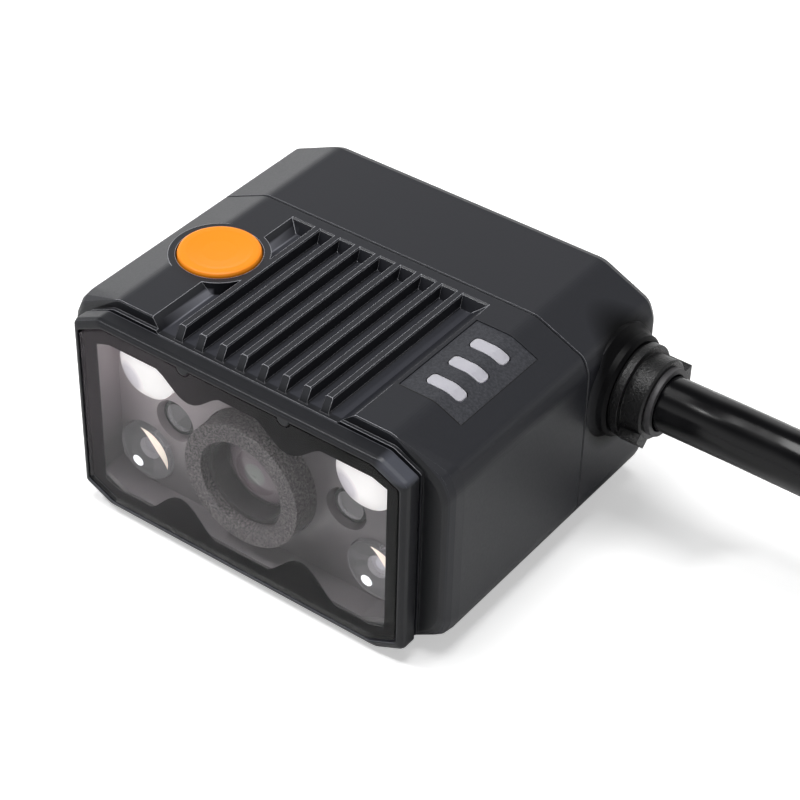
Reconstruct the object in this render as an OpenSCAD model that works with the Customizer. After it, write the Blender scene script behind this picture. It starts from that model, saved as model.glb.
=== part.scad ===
// Fixed barcode reader: a two-shell housing with a finned top, a push button and three light pipes,
// a printed window over the camera optics, and a cable pigtail that ends in a round plug.
// The window faces -Y, the cable leaves along +X and the reader stands on its flat bottom.

/* [Housing] */
// Width over the side walls
body_w = 51.2; // [48:0.2:60]
// Height over the top and bottom flats
body_h = 28; // [27:0.5:34]
// Depth from the bezel's face to the back
body_d = 43; // [42:0.5:56]
// Width of the flat along the top and the bottom
flat_w = 37; // [35:0.5:40]
// Drop from the flat to the shoulder edge
shoulder_drop = 2.8; // [2.2:0.1:3.4]
// Step in from the side wall to the shoulder edge
shoulder_in = 0.8; // [0.4:0.1:1.4]
// Drop from the flat to the top of the side wall
wall_drop = 4.8; // [4:0.1:6]
// Length of the soft blend across each long edge
edge_soft = 0.7; // [0.3:0.1:1]
// Thickness of the side walls
wall_t = 2; // [1.6:0.1:2.4]
// Thickness of the front shell's roof under the fins
roof_t = 3.2; // [2.8:0.1:3.6]
// Thickness of the floor and of the rear cover's roof
floor_t = 2.2; // [1.8:0.1:2.6]
// Thickness of the wall behind the bezel
front_wall_t = 2.9; // [2.4:0.1:3.4]
// Thickness of the back wall
back_wall_t = 2.2; // [2:0.1:3]
// Length of the rear cover
rear_len = 14.6; // [14:0.2:20]
// Width and depth of the groove along the seam
seam_groove = 0.25; // [0.15:0.05:0.4]
// Length of the rounded front end
nose_len = 2.6; // [1.6:0.1:3.6]
// Size of the round along the back edges
rear_round = 1.4; // [0.8:0.1:2]

/* [Top pocket] */
// Width of the finned pocket
pocket_w = 27; // [22:0.2:28]
// Depth of the slots
pocket_deep = 1.6; // [1:0.05:1.8]
// Distance from the slots' rear end to the seam
pocket_seam = 1.5; // [1.2:0.1:4]
// Sideways run of the sloped side wall at the channel
pocket_slope = 1; // [0.5:0.1:1.6]
// Sideways run of the sloped side wall at the label
pocket_fall = 1.9; // [1:0.1:2]
// Run of the pocket's sloped rear wall
pocket_rear = 0.55; // [0.2:0.05:1]
// Width of the plain channel beside the button
channel_w = 3.05; // [2:0.05:4]
// Distance from fin to fin
fin_pitch = 2.8; // [2.2:0.05:4]
// Thickness of a fin
fin_t = 0.96; // [0.8:0.02:1.5]
// Length of the slope at the front of each fin
fin_slope = 0.9; // [0.4:0.1:1.6]

/* [Button] */
// Radius of the button cap
button_r = 4.7; // [4:0.05:5]
// Distance of the button's axis from the edge of the pocket
button_out = 1.96; // [1.5:0.02:2.6]
// Distance of the button's axis behind the housing's front
button_back = 13.4; // [12.4:0.1:15]
// Height of the cap above the top flat
button_proud = 0.45; // [0.1:0.05:0.6]
// Wall of the ring round the cap
button_ring = 0.8; // [0.5:0.05:0.8]
// Running gap round the cap and its stem
button_gap = 0.2; // [0.15:0.05:0.4]
// Depth of the dish in the cap
button_dish = 0.25; // [0.1:0.05:0.4]
// Full travel of the button
button_travel = 0.5; // [0.3:0.05:0.5]
// Thickness of the retaining flange under the cap
button_flange_t = 0.7; // [0.5:0.05:0.8]
// Thickness of the lip that holds the flange
button_lip = 2; // [1.8:0.1:2.2]

/* [Indicators] */
// Width of the label across the shoulder
label_w = 7.8; // [7:0.1:8.2]
// Length of the label
label_len = 13.8; // [13:0.1:15]
// Distance of the label behind the housing's front
label_back = 7; // [6:0.1:9]
// Gap between the pocket and the label
label_gap = 0.5; // [0.3:0.1:0.8]
// Depth of the label's recess
label_deep = 0.3; // [0.25:0.05:0.5]
// Thickness of the label film
label_t = 0.2; // [0.1:0.05:0.2]
// Length of a light pipe
pipe_len = 4.4; // [3.6:0.1:5]
// Width of a light pipe
pipe_w = 1.7; // [1.2:0.1:2]
// Distance from pipe to pipe
pipe_pitch = 3.85; // [3.2:0.05:4.2]
// Distance of the first pipe behind the label's front edge
pipe_back = 2.9; // [2.4:0.1:3.4]
// Distance of the pipes from the label's inner edge
pipe_in = 1.7; // [1.4:0.1:2]

/* [Bezel and window] */
// Step in from the side wall to the bezel
bezel_side = 3.15; // [2.8:0.05:4]
// Step down from the top flat to the bezel
bezel_step = 0.95; // [0.8:0.05:1.4]
// Offset of the bezel's centre below the middle of the housing
bezel_down = 0.15; // [0:0.05:0.3]
// Distance that the bezel stands out of the housing
bezel_len = 3.2; // [3:0.1:4]
// Thickness of the bezel's frame
frame_t = 2.2; // [2:0.05:2.4]
// Length of the housing's lip behind the bezel
lip_len = 0.4; // [0.3:0.05:0.5]
// Width of the corner cuts of the bezel
corner_w = 3.5; // [2.5:0.1:4.5]
// Height of the corner cuts of the bezel
corner_h = 1.7; // [1.2:0.1:2.4]
// Width of the bezel's rim round the window
rim_w = 0.8; // [0.6:0.05:1]
// Gap round the window
window_gap = 0.25; // [0.1:0.05:0.3]
// Thickness of the window
window_t = 1; // [0.8:0.05:1.1]
// Depth of the window behind the rim
window_sink = 0.05; // [0:0.05:0.2]
// Thickness of the print on the window's back
mask_t = 0.1; // [0.05:0.05:0.15]
// Thickness of the window's adhesive seal
window_seal_t = 0.3; // [0.2:0.05:0.4]
// Width of the ledge that carries the window
ledge_w = 0.9; // [0.7:0.05:1.2]
// Wall of the bezel's spigot
spigot_t = 0.6; // [0.5:0.05:0.8]
// Width of the print at the window's sides
mask_side = 1.8; // [1.6:0.05:2.4]
// Width of the print at the window's top
mask_top = 2.15; // [1.8:0.05:2.6]
// Width of the print at the window's bottom
mask_bottom = 1.35; // [1.2:0.05:2]
// Distance of the upper print lobes from the middle
lobe_top_x = 6.75; // [6:0.05:7.5]
// Depth of the upper print lobes
lobe_top_deep = 2.65; // [1.5:0.05:3]
// Distance of the lower print lobes from the middle
lobe_low_x = 8.4; // [7.5:0.1:9]
// Depth of the lower print lobes
lobe_low_deep = 3.6; // [2:0.1:4]

/* [Optics] */
// Offset of the lens axis below the bezel's centre
lens_down = 0.95; // [0:0.05:1.2]
// Largest outer radius of the lens hood
hood_size = 7.75; // [7:0.05:8]
// Room between the lens hood and the plate's top and bottom
hood_room = 3.2; // [3:0.05:3.6]
// Wall of the lens hood's front lip
hood_wall = 2.2; // [1.8:0.05:2.4]
// Length of the lens hood's front lip
hood_lip = 1.3; // [1:0.05:1.6]
// Wall of the lens hood round the barrel
hood_side = 1.35; // [1.2:0.05:1.6]
// Wall of the lens barrel
barrel_wall = 1.4; // [1.2:0.05:1.6]
// Thickness of the optics plate
plate_t = 1.6; // [1.4:0.1:2.2]
// Thickness of the rim round the optics plate
tray_wall = 0.5; // [0.4:0.05:0.6]
// Largest radius of a diffuser dome
cup_size = 3.85; // [3.5:0.05:3.9]
// Room between a diffuser dome and the plate's middle line
cup_room = 1.6; // [1.4:0.05:2]
// Distance of a diffuser dome's axis from the plate's side
cup_side = 5.45; // [5.2:0.05:5.6]
// Distance of a diffuser dome from the plate's top
cup_edge = 0.75; // [0.7:0.05:0.9]
// Height of a diffuser dome's straight side above the plate
cup_rise = 0.8; // [0.6:0.05:1]
// Height of a diffuser dome's cap
cup_cap = 1.6; // [1.2:0.05:1.8]
// Largest radius of an illumination lens
lens_size = 3.6; // [3.3:0.05:3.7]
// Room between an illumination lens and the plate's middle line
lens_room = 1.85; // [1.7:0.05:2.2]
// Distance of an illumination lens from the plate's side
lens_edge = 0.75; // [0.7:0.05:0.9]
// Distance of an illumination lens from the plate's bottom
lens_low = 1.3; // [1.1:0.05:1.6]
// Height of an illumination lens's straight side above the plate
lens_rise = 0.5; // [0.3:0.05:0.8]
// Height of an illumination lens's cap
lens_cap = 1.4; // [1.1:0.05:1.7]
// Largest radius of the aimer ports
port_size = 2.65; // [2.4:0.05:2.7]
// Room between an aimer port and the plate's middle line
port_room = 2.8; // [2.7:0.05:3]
// Distance of a port's axis from the hood
port_out = 4.1; // [3.9:0.05:4.2]
// Height of a port's axis above the lens axis
port_up = 1; // [0.6:0.05:1.2]

/* [Boards] */
// Thickness of the circuit boards
board_t = 1.2; // [1:0.1:1.6]
// Gap between a board and the walls
board_gap = 0.4; // [0.3:0.05:0.6]
// Distance from the camera board to the screw pillars
camera_gap = 2.9; // [2.6:0.1:3.2]
// Distance of the main board behind the seam
main_gap = 0.1; // [0.1:0.05:0.3]
// Distance of the top board below the roof
top_gap = 3.2; // [3.2:0.05:3.4]
// Radius of the board spacers
spacer_r = 1.8; // [1.4:0.1:1.9]
// Distance of the board spacers from the middle
spacer_x = 13.5; // [13:0.1:14]
// Radius of a lamp
lamp_r = 1; // [0.8:0.05:1.4]
// Height of a lamp's package
lamp_h = 0.7; // [0.5:0.05:0.8]

/* [Fasteners] */
// Distance of the upper cover screws from the middle
screw_top_x = 14; // [13.8:0.1:14.4]
// Distance of the upper cover screws below the roof
screw_top = 2.2; // [2:0.05:2.3]
// Distance of the lower cover screws from the middle
screw_low_x = 18.6; // [18:0.1:19]
// Distance of the lower cover screws above the floor
screw_low = 3.8; // [3.6:0.05:4]
// Radius of the cover screws' shanks
screw_r = 1; // [0.8:0.05:1.1]
// Radius of the cover screws' heads
screw_head_r = 1.85; // [1.6:0.05:1.9]
// Radius of the screw pillars
pillar_r = 2.2; // [2:0.05:2.4]
// Distance between the mounting holes across the reader
mount_x = 25; // [20:0.5:26]
// Distance of the front mounting holes behind the housing's front
mount_back = 7.8; // [7.6:0.1:8.4]
// Distance of the rear mounting holes in front of the seam
mount_seam = 4.4; // [4.2:0.1:4.8]
// Radius of the mounting thread
mount_r = 1.25; // [1:0.05:1.5]
// Outer radius of the threaded inserts
insert_r = 2.2; // [1.9:0.05:2.4]
// Length of the threaded inserts
insert_len = 4.6; // [4:0.1:5]

/* [Cable exit] */
// Radius of the cable
cable_r = 3.25; // [2.5:0.05:3.3]
// Distance of the cable's axis in front of the back
gland_back = 7.5; // [7:0.1:8]
// Height of the cable's axis above the middle of the housing
gland_up = 4.2; // [3:0.1:4.4]
// Radius of the boss on the side wall
gland_boss_r = 6; // [5.6:0.05:6.2]
// Height of the boss on the side wall
gland_boss_h = 1.8; // [1.4:0.1:2.4]
// Radius of the collar's flange
flange_r = 5.5; // [5.2:0.05:5.6]
// Thickness of the collar's flange
flange_t = 0.9; // [0.6:0.05:1.2]
// Radius of the collar
collar_r = 4.7; // [4.4:0.05:5]
// Length of the collar
collar_len = 2.5; // [2:0.1:3.5]
// Radius of the collar's spigot
gland_spigot_r = 4.1; // [4:0.05:4.15]
// Wall of the ring at the collar's end
end_ring_t = 0.6; // [0.4:0.05:0.8]
// Length of the ring at the collar's end
end_ring_len = 0.7; // [0.5:0.05:1]

/* [Plug] */
// Radius of the plug's grip
grip_r = 7.2; // [6.8:0.1:7.2]
// Length of the plug's grip
grip_len = 19; // [16:0.5:24]
// Length of the plug's cable sleeve
sleeve_len = 8; // [6:0.5:12]
// Radius of the plug's thread
thread_r = 6; // [5.6:0.1:6.2]
// Length of the plug's thread
thread_len = 13; // [10:0.5:16]
// Wall of the plug's threaded shell
shell_t = 1; // [0.8:0.05:1.2]
// Radius of a contact pin
pin_r = 0.35; // [0.25:0.05:0.4]

/* [Hidden] */
$fn = 48;

// Colours as the photo shows them
body_black = "#2b2c30";
trim_black = "#202124";
board_green = "#1f5a3a";
steel = "#b9bcc0";
brass = "#c9a24a";
lens_clear = "#d7dde2";

// Small allowances: fit_gap for pieces that plug together, slip for screws in their holes
fit_gap = 0.15;
slip = 0.02;
cut = 1;

// Stations along Y, from the bezel's face to the back
y_front = -body_d / 2;
y_rear = body_d / 2;
mid_z = body_h / 2;
half_w = body_w / 2;
window_y = y_front + window_sink;
mask_y = window_y + window_t;
window_seal_y = mask_y + mask_t;
ledge_y = window_seal_y + window_seal_t;
frame_y = y_front + frame_t;
housing_y = y_front + bezel_len;
lip_y = housing_y - lip_len;
cavity_y = housing_y + front_wall_t;
plate_y = cavity_y - plate_t;
led_back_y = cavity_y + board_t;
seam_y = y_rear - rear_len;
pillar_len = 5.4;
pillar_y = seam_y - pillar_len;
sensor_back_y = pillar_y - camera_gap;
sensor_y = sensor_back_y - board_t;
main_y = seam_y + main_gap;
main_back_y = main_y + board_t;
back_wall_y = y_rear - back_wall_t;

// The housing's front end, slice by slice: share of the nose's length, then how far the edges of the
// flat, the shoulder and the wall draw in and down
NOSE = [
    [0, [0.06, 0.14], [1, 1.3], [0.9, 1.2]],
    [0.05, [0, 0], [0.78, 0.95], [0.68, 0.86]],
    [0.22, [0, 0], [0.4, 0.46], [0.34, 0.42]],
    [0.5, [0, 0], [0.12, 0.14], [0.1, 0.12]]
];
NO_NOSE = [1, [0, 0], [0, 0], [0, 0]];
slice = 0.01;
soft_steps = 4;

function unit(v) = v / norm(v);

// Points of a soft corner at b between a and c, reaching t along both sides
function soften(a, b, c, t, n) = [
    for (i = [0:n])
        let (s = i / n)
            (1 - s) * (1 - s) * (b + t * unit(a - b)) + 2 * s * (1 - s) * b + s * s * (b + t * unit(c - b))
];

function softened(p, t, n) = [
    for (i = [0:len(p) - 1])
        each soften(p[(i + len(p) - 1) % len(p)], p[i], p[(i + 1) % len(p)], t, n)
];

// Right half of the housing's section from the middle of the top to the middle of the bottom
function body_edges(side_in, top_in, bottom_in, nose) = let (
    flat_x = flat_w / 2 - side_in / 2 - nose[1].x,
    shoulder_x = half_w - shoulder_in - side_in - nose[2].x,
    wall_x = half_w - side_in - nose[3].x
) [
    [flat_x, body_h - top_in - nose[1].y],
    [shoulder_x, body_h - shoulder_drop - top_in - nose[2].y],
    [wall_x, body_h - wall_drop - top_in - nose[3].y],
    [wall_x, wall_drop + bottom_in + nose[3].y],
    [shoulder_x, shoulder_drop + bottom_in + nose[2].y],
    [flat_x, bottom_in + nose[1].y]
];

function both_sides(p) = concat(p, [for (i = [len(p) - 1:-1:0]) [-p[i].x, p[i].y]]);

module body_section(side_in = 0, top_in = 0, bottom_in = 0, nose = NO_NOSE) {
    polygon(softened(both_sides(body_edges(side_in, top_in, bottom_in, nose)), edge_soft, soft_steps));
}

// A flat shape in X and Z, drawn out along Y
module along_y(y0, y1) {
    translate([0, y1, 0]) rotate([90, 0, 0]) linear_extrude(height = y1 - y0) children();
}

// A round piece on an axis along Y
module round_y(x, z, y0, y1, r) {
    translate([x, y1, z]) rotate([90, 0, 0]) cylinder(r = r, h = y1 - y0);
}

// The bezel's family of octagons, centred on the bezel
bezel_z = mid_z - bezel_down;
bezel_hw = half_w - bezel_side;
bezel_hh = mid_z - bezel_step;
rebate_hw = bezel_hw - rim_w;
rebate_hh = bezel_hh - rim_w;
window_hw = rebate_hw - window_gap;
window_hh = rebate_hh - window_gap;
ledge_hw = window_hw - ledge_w;
ledge_hh = window_hh - ledge_w;
spigot_hw = ledge_hw + spigot_t;
spigot_hh = ledge_hh + spigot_t;
plate_hw = ledge_hw - fit_gap;
plate_hh = ledge_hh - fit_gap;
bezel_soft = 0.35;
groove_in = 0.6;

function octagon(hw, hh, cw, ch) = both_sides([
    [hw - cw, hh], [hw, hh - ch], [hw, ch - hh], [hw - cw, -hh]
]);

module octagon_shape(hw, hh) {
    translate([0, bezel_z]) polygon(softened(octagon(hw, hh, corner_w, corner_h), bezel_soft, 3));
}

// Places on the front
lens_z = bezel_z - lens_down;
hood_r = min(hood_size, plate_hh - hood_room);
barrel_r = hood_r - hood_side;
barrel_bore = barrel_r - barrel_wall;
cup_r = min(cup_size, plate_hh / 2 - cup_room);
lens_r = min(lens_size, plate_hh / 2 - lens_room);
port_r = min(port_size, plate_hh / 2 - port_room);
port_x = hood_r + port_out;
port_z = lens_z + port_up;
cup_at = [plate_hw - cup_side, bezel_z + plate_hh - cup_edge - cup_r];
led_lens_at = [plate_hw - lens_edge - lens_r, bezel_z - plate_hh + lens_low + lens_r];
sides = [-1, 1];
glass_gap = 0.15;
tray_y = window_seal_y + glass_gap;
hood_y = window_seal_y + glass_gap;
barrel_y = hood_y + hood_lip;

// Places on the top
pocket_x = -pocket_w / 2;
pocket_back_y = seam_y - pocket_seam;
pocket_floor = body_h - pocket_deep;
pocket_edge = [0.2, 0.12];
fin_count = floor((pocket_w - channel_w - pocket_slope) / fin_pitch);
button_x = pocket_x - button_out;
button_y = housing_y + button_back;
boss_r = button_r + button_gap + button_ring;
flange_out = 0.45;
lip_z = body_h - button_lip;
label_x = -pocket_x + label_gap;
label_y = housing_y + label_back;
pipe_x = label_x + pipe_in;
pipe_count = 3;
pipe_y = [for (i = [0:pipe_count - 1]) label_y + pipe_back + i * pipe_pitch];
roof_z = body_h - roof_t;

// The top board hangs under the roof
top_board_z = roof_z - top_gap;
top_board_side = 2.3;
top_board_hw = half_w - wall_t - top_board_side;
top_board_y0 = cavity_y + 2.4;
top_board_y1 = label_y + label_len - 1.5;
hanger_r = 1.5;
hanger_in = [1.8, 1.6];
hanger_x = 7.5;
hangers = [
    [top_board_hw - hanger_in.x, top_board_y0 + hanger_in.y],
    [hanger_in.x - top_board_hw, top_board_y0 + hanger_in.y],
    [hanger_x, top_board_y1 - hanger_in.y], [-hanger_x, top_board_y1 - hanger_in.y]
];
switch_w = 5.2;
switch_h = 1.2;
plunger_r = 1;
plunger_gap = 0.2;
stem_r = 1.6;
stem_room = 0.3;
stem_z = top_board_z + switch_h + button_travel + stem_room;

// Pillars for the cover screws and places of the mounting inserts
pillars_top = [for (sx = sides) [sx * screw_top_x, roof_z - screw_top]];
pillars_low = [for (sx = sides) [sx * screw_low_x, floor_t + screw_low]];
pillars = concat(pillars_top, pillars_low);
web_t = 1.6;
web_sunk = 0.5;
insert_boss_r = insert_r + 1;
insert_deep = insert_len + 0.4;
insert_roof = 1.2;
mounts = [for (sx = sides, y = [housing_y + mount_back, seam_y - mount_seam]) [sx * mount_x / 2, y]];

// The cable exit, on an axis along X
gland_y = y_rear - gland_back;
gland_z = mid_z + gland_up;
boss_face_x = half_w + gland_boss_h;
gasket_t = 0.3;
flange_x = boss_face_x + gasket_t;
collar_x = flange_x + flange_t;
ring_x = collar_x + collar_len;
gland_end_x = ring_x + end_ring_len;
cable_bore = cable_r + fit_gap;
nut_t = 2;
nut_r = 5.2;
pad_t = 1.6;
pad_r = 5.6;
pad_x = half_w - wall_t - pad_t;
gland_inner_x = pad_x - nut_t - 0.3;

// The cable's route from the side wall: straight out, down to the surface in a wide turn, up to the plug.
// Each point is the way out along X, the way back along Y, its share of the exit's height above the
// resting height, and its share of the plug's
ROUTE = [
    [-5.6, 0, 1, 0], [6.4, 0, 1, 0], [18.4, 0, 1, 0], [30.4, 0.5, 0.95, 0], [40.4, 2, 0.8, 0],
    [49.4, 6, 0.58, 0], [57.4, 12, 0.35, 0], [63.4, 20, 0.15, 0], [67.4, 29, 0.03, 0], [68.4, 39, 0, 0],
    [67.4, 49, 0, 0.03], [63.4, 58, 0, 0.2], [57.4, 66, 0, 0.55], [49.4, 72, 0, 0.88], [40.8, 77, 0, 1]
];

// Heights of the cable and of the plug where they lie on the surface
surface_gap = 0.05;
cable_rest = cable_r + surface_gap;
plug_rest = grip_r + surface_gap;
plug_turn = 150;
cable_route = [for (p = ROUTE) [
    half_w + p[0], gland_y + p[1],
    cable_rest + p[2] * (gland_z - cable_rest) + p[3] * (plug_rest - cable_rest)
]];

// A round piece on the cable's axis, from x0 to x1
module round_x(x0, x1, r) {
    translate([x0, gland_y, gland_z]) rotate([0, 90, 0]) cylinder(r = r, h = x1 - x0);
}

// The two shells
module shell_outer_front() {
    hull() {
        for (n = NOSE) along_y(housing_y + n[0] * nose_len, housing_y + n[0] * nose_len + slice)
            body_section(nose = n);
        along_y(housing_y + nose_len, seam_y) body_section();
    }
}

fin_edge = 0.14;
fin_foot = 0.16;

module fin(x) {
    translate([x, 0, 0]) intersection() {
        // Profile along Y: level with the top, sloped at the front end down to the pocket's floor
        translate([-2 * fin_foot, 0, 0]) rotate([90, 0, 90])
            linear_extrude(height = fin_t + 4 * fin_foot) polygon([
                [housing_y, pocket_floor - cut], [housing_y, pocket_floor],
                [housing_y + fin_slope, body_h], [housing_y + fin_slope, body_h + cut],
                [pocket_back_y + cut, body_h + cut], [pocket_back_y + cut, pocket_floor - cut]
            ]);
        // Profile along X: broken top edges and a small foot on each side
        along_y(housing_y - cut, pocket_back_y + 2 * cut) polygon([
            [-fin_foot, pocket_floor - cut], [-fin_foot, pocket_floor], [0, pocket_floor + fin_foot],
            [0, body_h - fin_edge], [fin_edge, body_h], [fin_edge, body_h + cut],
            [fin_t - fin_edge, body_h + cut], [fin_t - fin_edge, body_h], [fin_t, body_h - fin_edge],
            [fin_t, pocket_floor + fin_foot], [fin_t + fin_foot, pocket_floor],
            [fin_t + fin_foot, pocket_floor - cut]
        ]);
    }
}

module pocket_cut() {
    difference() {
        intersection() {
            along_y(housing_y - cut, pocket_back_y + pocket_edge.x) polygon([
                [pocket_x, body_h + cut], [pocket_x, body_h], [pocket_x + pocket_slope, pocket_floor],
                [-pocket_x - pocket_fall, pocket_floor], [-pocket_x, body_h], [-pocket_x, body_h + cut]
            ]);
            translate([pocket_x - cut, 0, 0]) rotate([90, 0, 90])
                linear_extrude(height = pocket_w + 2 * cut) polygon([
                    [housing_y - cut, pocket_floor], [pocket_back_y - pocket_rear, pocket_floor],
                    [pocket_back_y, body_h - pocket_edge.y], [pocket_back_y + pocket_edge.x, body_h],
                    [pocket_back_y + pocket_edge.x, body_h + cut], [housing_y - cut, body_h + cut]
                ]);
        }
        for (k = [0:fin_count - 1]) fin(pocket_x + channel_w + k * fin_pitch);
        translate([button_x, button_y, 0]) cylinder(r = boss_r, h = body_h + 2 * cut);
    }
}

pipe_corner = 0.55;
label_edge = 0.06;

module pipe_shape(y, extra) {
    // A rounded rectangle across the shoulder
    translate([pipe_x - extra, y - pipe_w / 2 - extra]) {
        w = pipe_len + 2 * extra;
        h = pipe_w + 2 * extra;
        translate([pipe_corner, 0]) square([w - 2 * pipe_corner, h]);
        translate([0, pipe_corner]) square([w, h - 2 * pipe_corner]);
        for (x = [pipe_corner, w - pipe_corner], v = [pipe_corner, h - pipe_corner])
            translate([x, v]) circle(r = pipe_corner);
    }
}

module label_slab(extra, deep0, deep1) {
    // The part of the housing's skin under the label, between two depths
    intersection() {
        translate([label_x - extra, label_y - extra, mid_z])
            cube([label_w + 2 * extra, label_len + 2 * extra, body_h]);
        difference() {
            translate([0, 0, -deep0]) along_y(label_y - cut, label_y + label_len + cut) body_section();
            translate([0, 0, -deep1]) along_y(label_y - 2 * cut, label_y + label_len + 2 * cut)
                body_section();
        }
    }
}

module front_housing() {
    color(body_black) difference() {
        union() {
            difference() {
                union() {
                    shell_outer_front();
                    along_y(lip_y, housing_y + cut) octagon_shape(bezel_hw - fit_gap, bezel_hh - fit_gap);
                    translate([button_x, button_y, roof_z]) cylinder(r = boss_r, h = roof_t);
                }
                along_y(cavity_y, seam_y + cut) body_section(wall_t, roof_t, floor_t);
                along_y(lip_y - cut, cavity_y + cut) octagon_shape(spigot_hw + fit_gap, spigot_hh + fit_gap);
                pocket_cut();
                label_slab(label_edge, -cut, label_deep);
            }
            for (p = pillars) round_y(p.x, p.y, pillar_y, seam_y, pillar_r);
            for (p = pillars_top) pillar_web(p, p.y, roof_z + web_sunk);
            for (p = pillars_low) pillar_web(p, floor_t - web_sunk, p.y);
            for (m = mounts) translate([m.x, m.y, floor_t / 2])
                cylinder(r = insert_boss_r, h = insert_deep + insert_roof - floor_t / 2);
            for (h = hangers) translate([h.x, h.y, top_board_z]) cylinder(r = hanger_r, h = top_gap + 0.5);
        }
        // Seal groove, screw holes, insert holes, button bore and light pipe slots
        difference() {
            along_y(seam_y - seal_deep, seam_y + cut) body_section(seal_in, seal_in, seal_in);
            along_y(seam_y - seal_deep - cut, seam_y + 2 * cut)
                body_section(seal_in + seal_groove, seal_in + seal_groove, seal_in + seal_groove);
        }
        for (p = pillars) round_y(p.x, p.y, pillar_y - cut, seam_y + cut, screw_r + slip);
        for (m = mounts) translate([m.x, m.y, -cut]) cylinder(r = insert_r + slip, h = insert_deep + cut);
        for (h = hangers) translate([h.x, h.y, top_board_z - cut])
            cylinder(r = hang_screw_r + slip, h = hang_screw_l);
        translate([button_x, button_y, roof_z - 3]) {
            cylinder(r = button_r + button_gap, h = body_h);
            cylinder(r = button_r + flange_out + button_gap, h = lip_z - roof_z + 3);
        }
        for (y = pipe_y) translate([0, 0, mid_z]) linear_extrude(height = body_h) pipe_shape(y, pipe_gap);
        for (s = led_screws) round_y(s.x, s.y, housing_y + 0.6, cavity_y + cut, led_screw_r + slip);
    }
}

// Rib that ties a screw pillar to the roof or the floor
module pillar_web(p, z0, z1) {
    along_y(pillar_y, seam_y) translate([p.x - web_t / 2, z0]) square([web_t, z1 - z0]);
}

// Seal groove in the front shell's rear face
seal_in = 0.55;
seal_groove = 0.9;
seal_deep = 0.8;
pipe_gap = 0.1;
hang_screw_r = 0.8;
hang_screw_l = 3.2;
led_screw_r = 0.55;
led_screw_in = 1.2;
led_screw_up = 5;
led_screw_x = half_w - wall_t - led_screw_in;
led_screws = [for (sx = sides, sz = sides) [sx * led_screw_x, mid_z + sz * led_screw_up]];

seam_edge = 0.12;

module rear_cover() {
    color(body_black) difference() {
        union() {
            difference() {
                union() {
                    hull() {
                        along_y(seam_y + seam_groove, seam_y + seam_groove + slice)
                            body_section(seam_edge, seam_edge, seam_edge);
                        along_y(seam_y + seam_groove + seam_edge, y_rear - rear_round) body_section();
                        along_y(y_rear - rear_round * 0.35, y_rear - rear_round * 0.35 + slice)
                            body_section(rear_round * 0.3, rear_round * 0.3, rear_round * 0.3);
                        along_y(y_rear - slice, y_rear) body_section(rear_round, rear_round, rear_round);
                    }
                    along_y(seam_y, seam_y + 2 * seam_groove)
                        body_section(seam_groove, seam_groove, seam_groove);
                    gland_boss();
                }
                along_y(seam_y - cut, back_wall_y) body_section(wall_t, floor_t, floor_t);
            }
            for (p = pillars) round_y(p.x, p.y, seam_y, back_wall_y + back_wall_t / 2, pillar_r);
            round_x(pad_x, half_w - wall_t / 2, pad_r);
        }
        for (p = pillars) {
            round_y(p.x, p.y, seam_y - cut, y_rear + cut, screw_r + fit_gap);
            round_y(p.x, p.y, y_rear - screw_head_l - screw_sink, y_rear + cut, screw_head_r + fit_gap);
        }
        round_x(gland_inner_x, boss_face_x + cut, gland_spigot_r + fit_gap);
    }
}

screw_head_l = 1.4;
screw_sink = 0.25;
boss_cove = 0.9;
boss_soft = 0.3;

module gland_boss() {
    // A round boss that grows out of the side wall in a soft cove
    translate([0, gland_y, gland_z]) rotate([0, 90, 0]) rotate_extrude() polygon([
        [0, half_w - wall_t], [gland_boss_r + boss_cove, half_w - wall_t],
        [gland_boss_r + boss_cove, half_w - boss_soft],
        [gland_boss_r + boss_cove * 0.45, half_w + gland_boss_h * 0.15],
        [gland_boss_r + boss_cove * 0.12, half_w + gland_boss_h * 0.42],
        [gland_boss_r, half_w + gland_boss_h * 0.8], [gland_boss_r - boss_soft, boss_face_x], [0, boss_face_x]
    ]);
}

seal_out = seal_in + fit_gap;
seal_core = seal_in + seal_groove - fit_gap;

module housing_seal() {
    color(trim_black) difference() {
        along_y(seam_y - seal_deep, seam_y) body_section(seal_out, seal_out, seal_out);
        along_y(seam_y - seal_deep - cut, seam_y + cut) body_section(seal_core, seal_core, seal_core);
    }
}

module cross_recess(r, deep) {
    // Drive recess in a screw head whose face looks along +Z
    for (a = [0, 90]) rotate([0, 0, a]) translate([-r * 0.6, -r * 0.14, -deep])
        cube([r * 1.2, r * 0.28, deep + cut]);
}

module screw_y(x, z, y_tip, y_head, r, head_r, head_l) {
    // A pan-head screw whose head looks along +Y
    difference() {
        union() {
            round_y(x, z, y_tip, y_head, r);
            round_y(x, z, y_head, y_head + head_l, head_r);
        }
        translate([x, y_head + head_l, z]) rotate([-90, 0, 0]) cross_recess(head_r, head_l * 0.5);
    }
}

tip_room = 0.6;

module cover_screws() {
    color(steel) for (p = pillars)
        screw_y(p.x, p.y, pillar_y + tip_room, y_rear - screw_head_l - screw_sink, screw_r, screw_head_r,
            screw_head_l);
}

module mounting_inserts() {
    color(brass) for (m = mounts) translate([m.x, m.y, 0]) difference() {
        cylinder(r = insert_r, h = insert_len);
        translate([0, 0, -cut]) cylinder(r = mount_r, h = insert_len + 2 * cut);
    }
}

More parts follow.
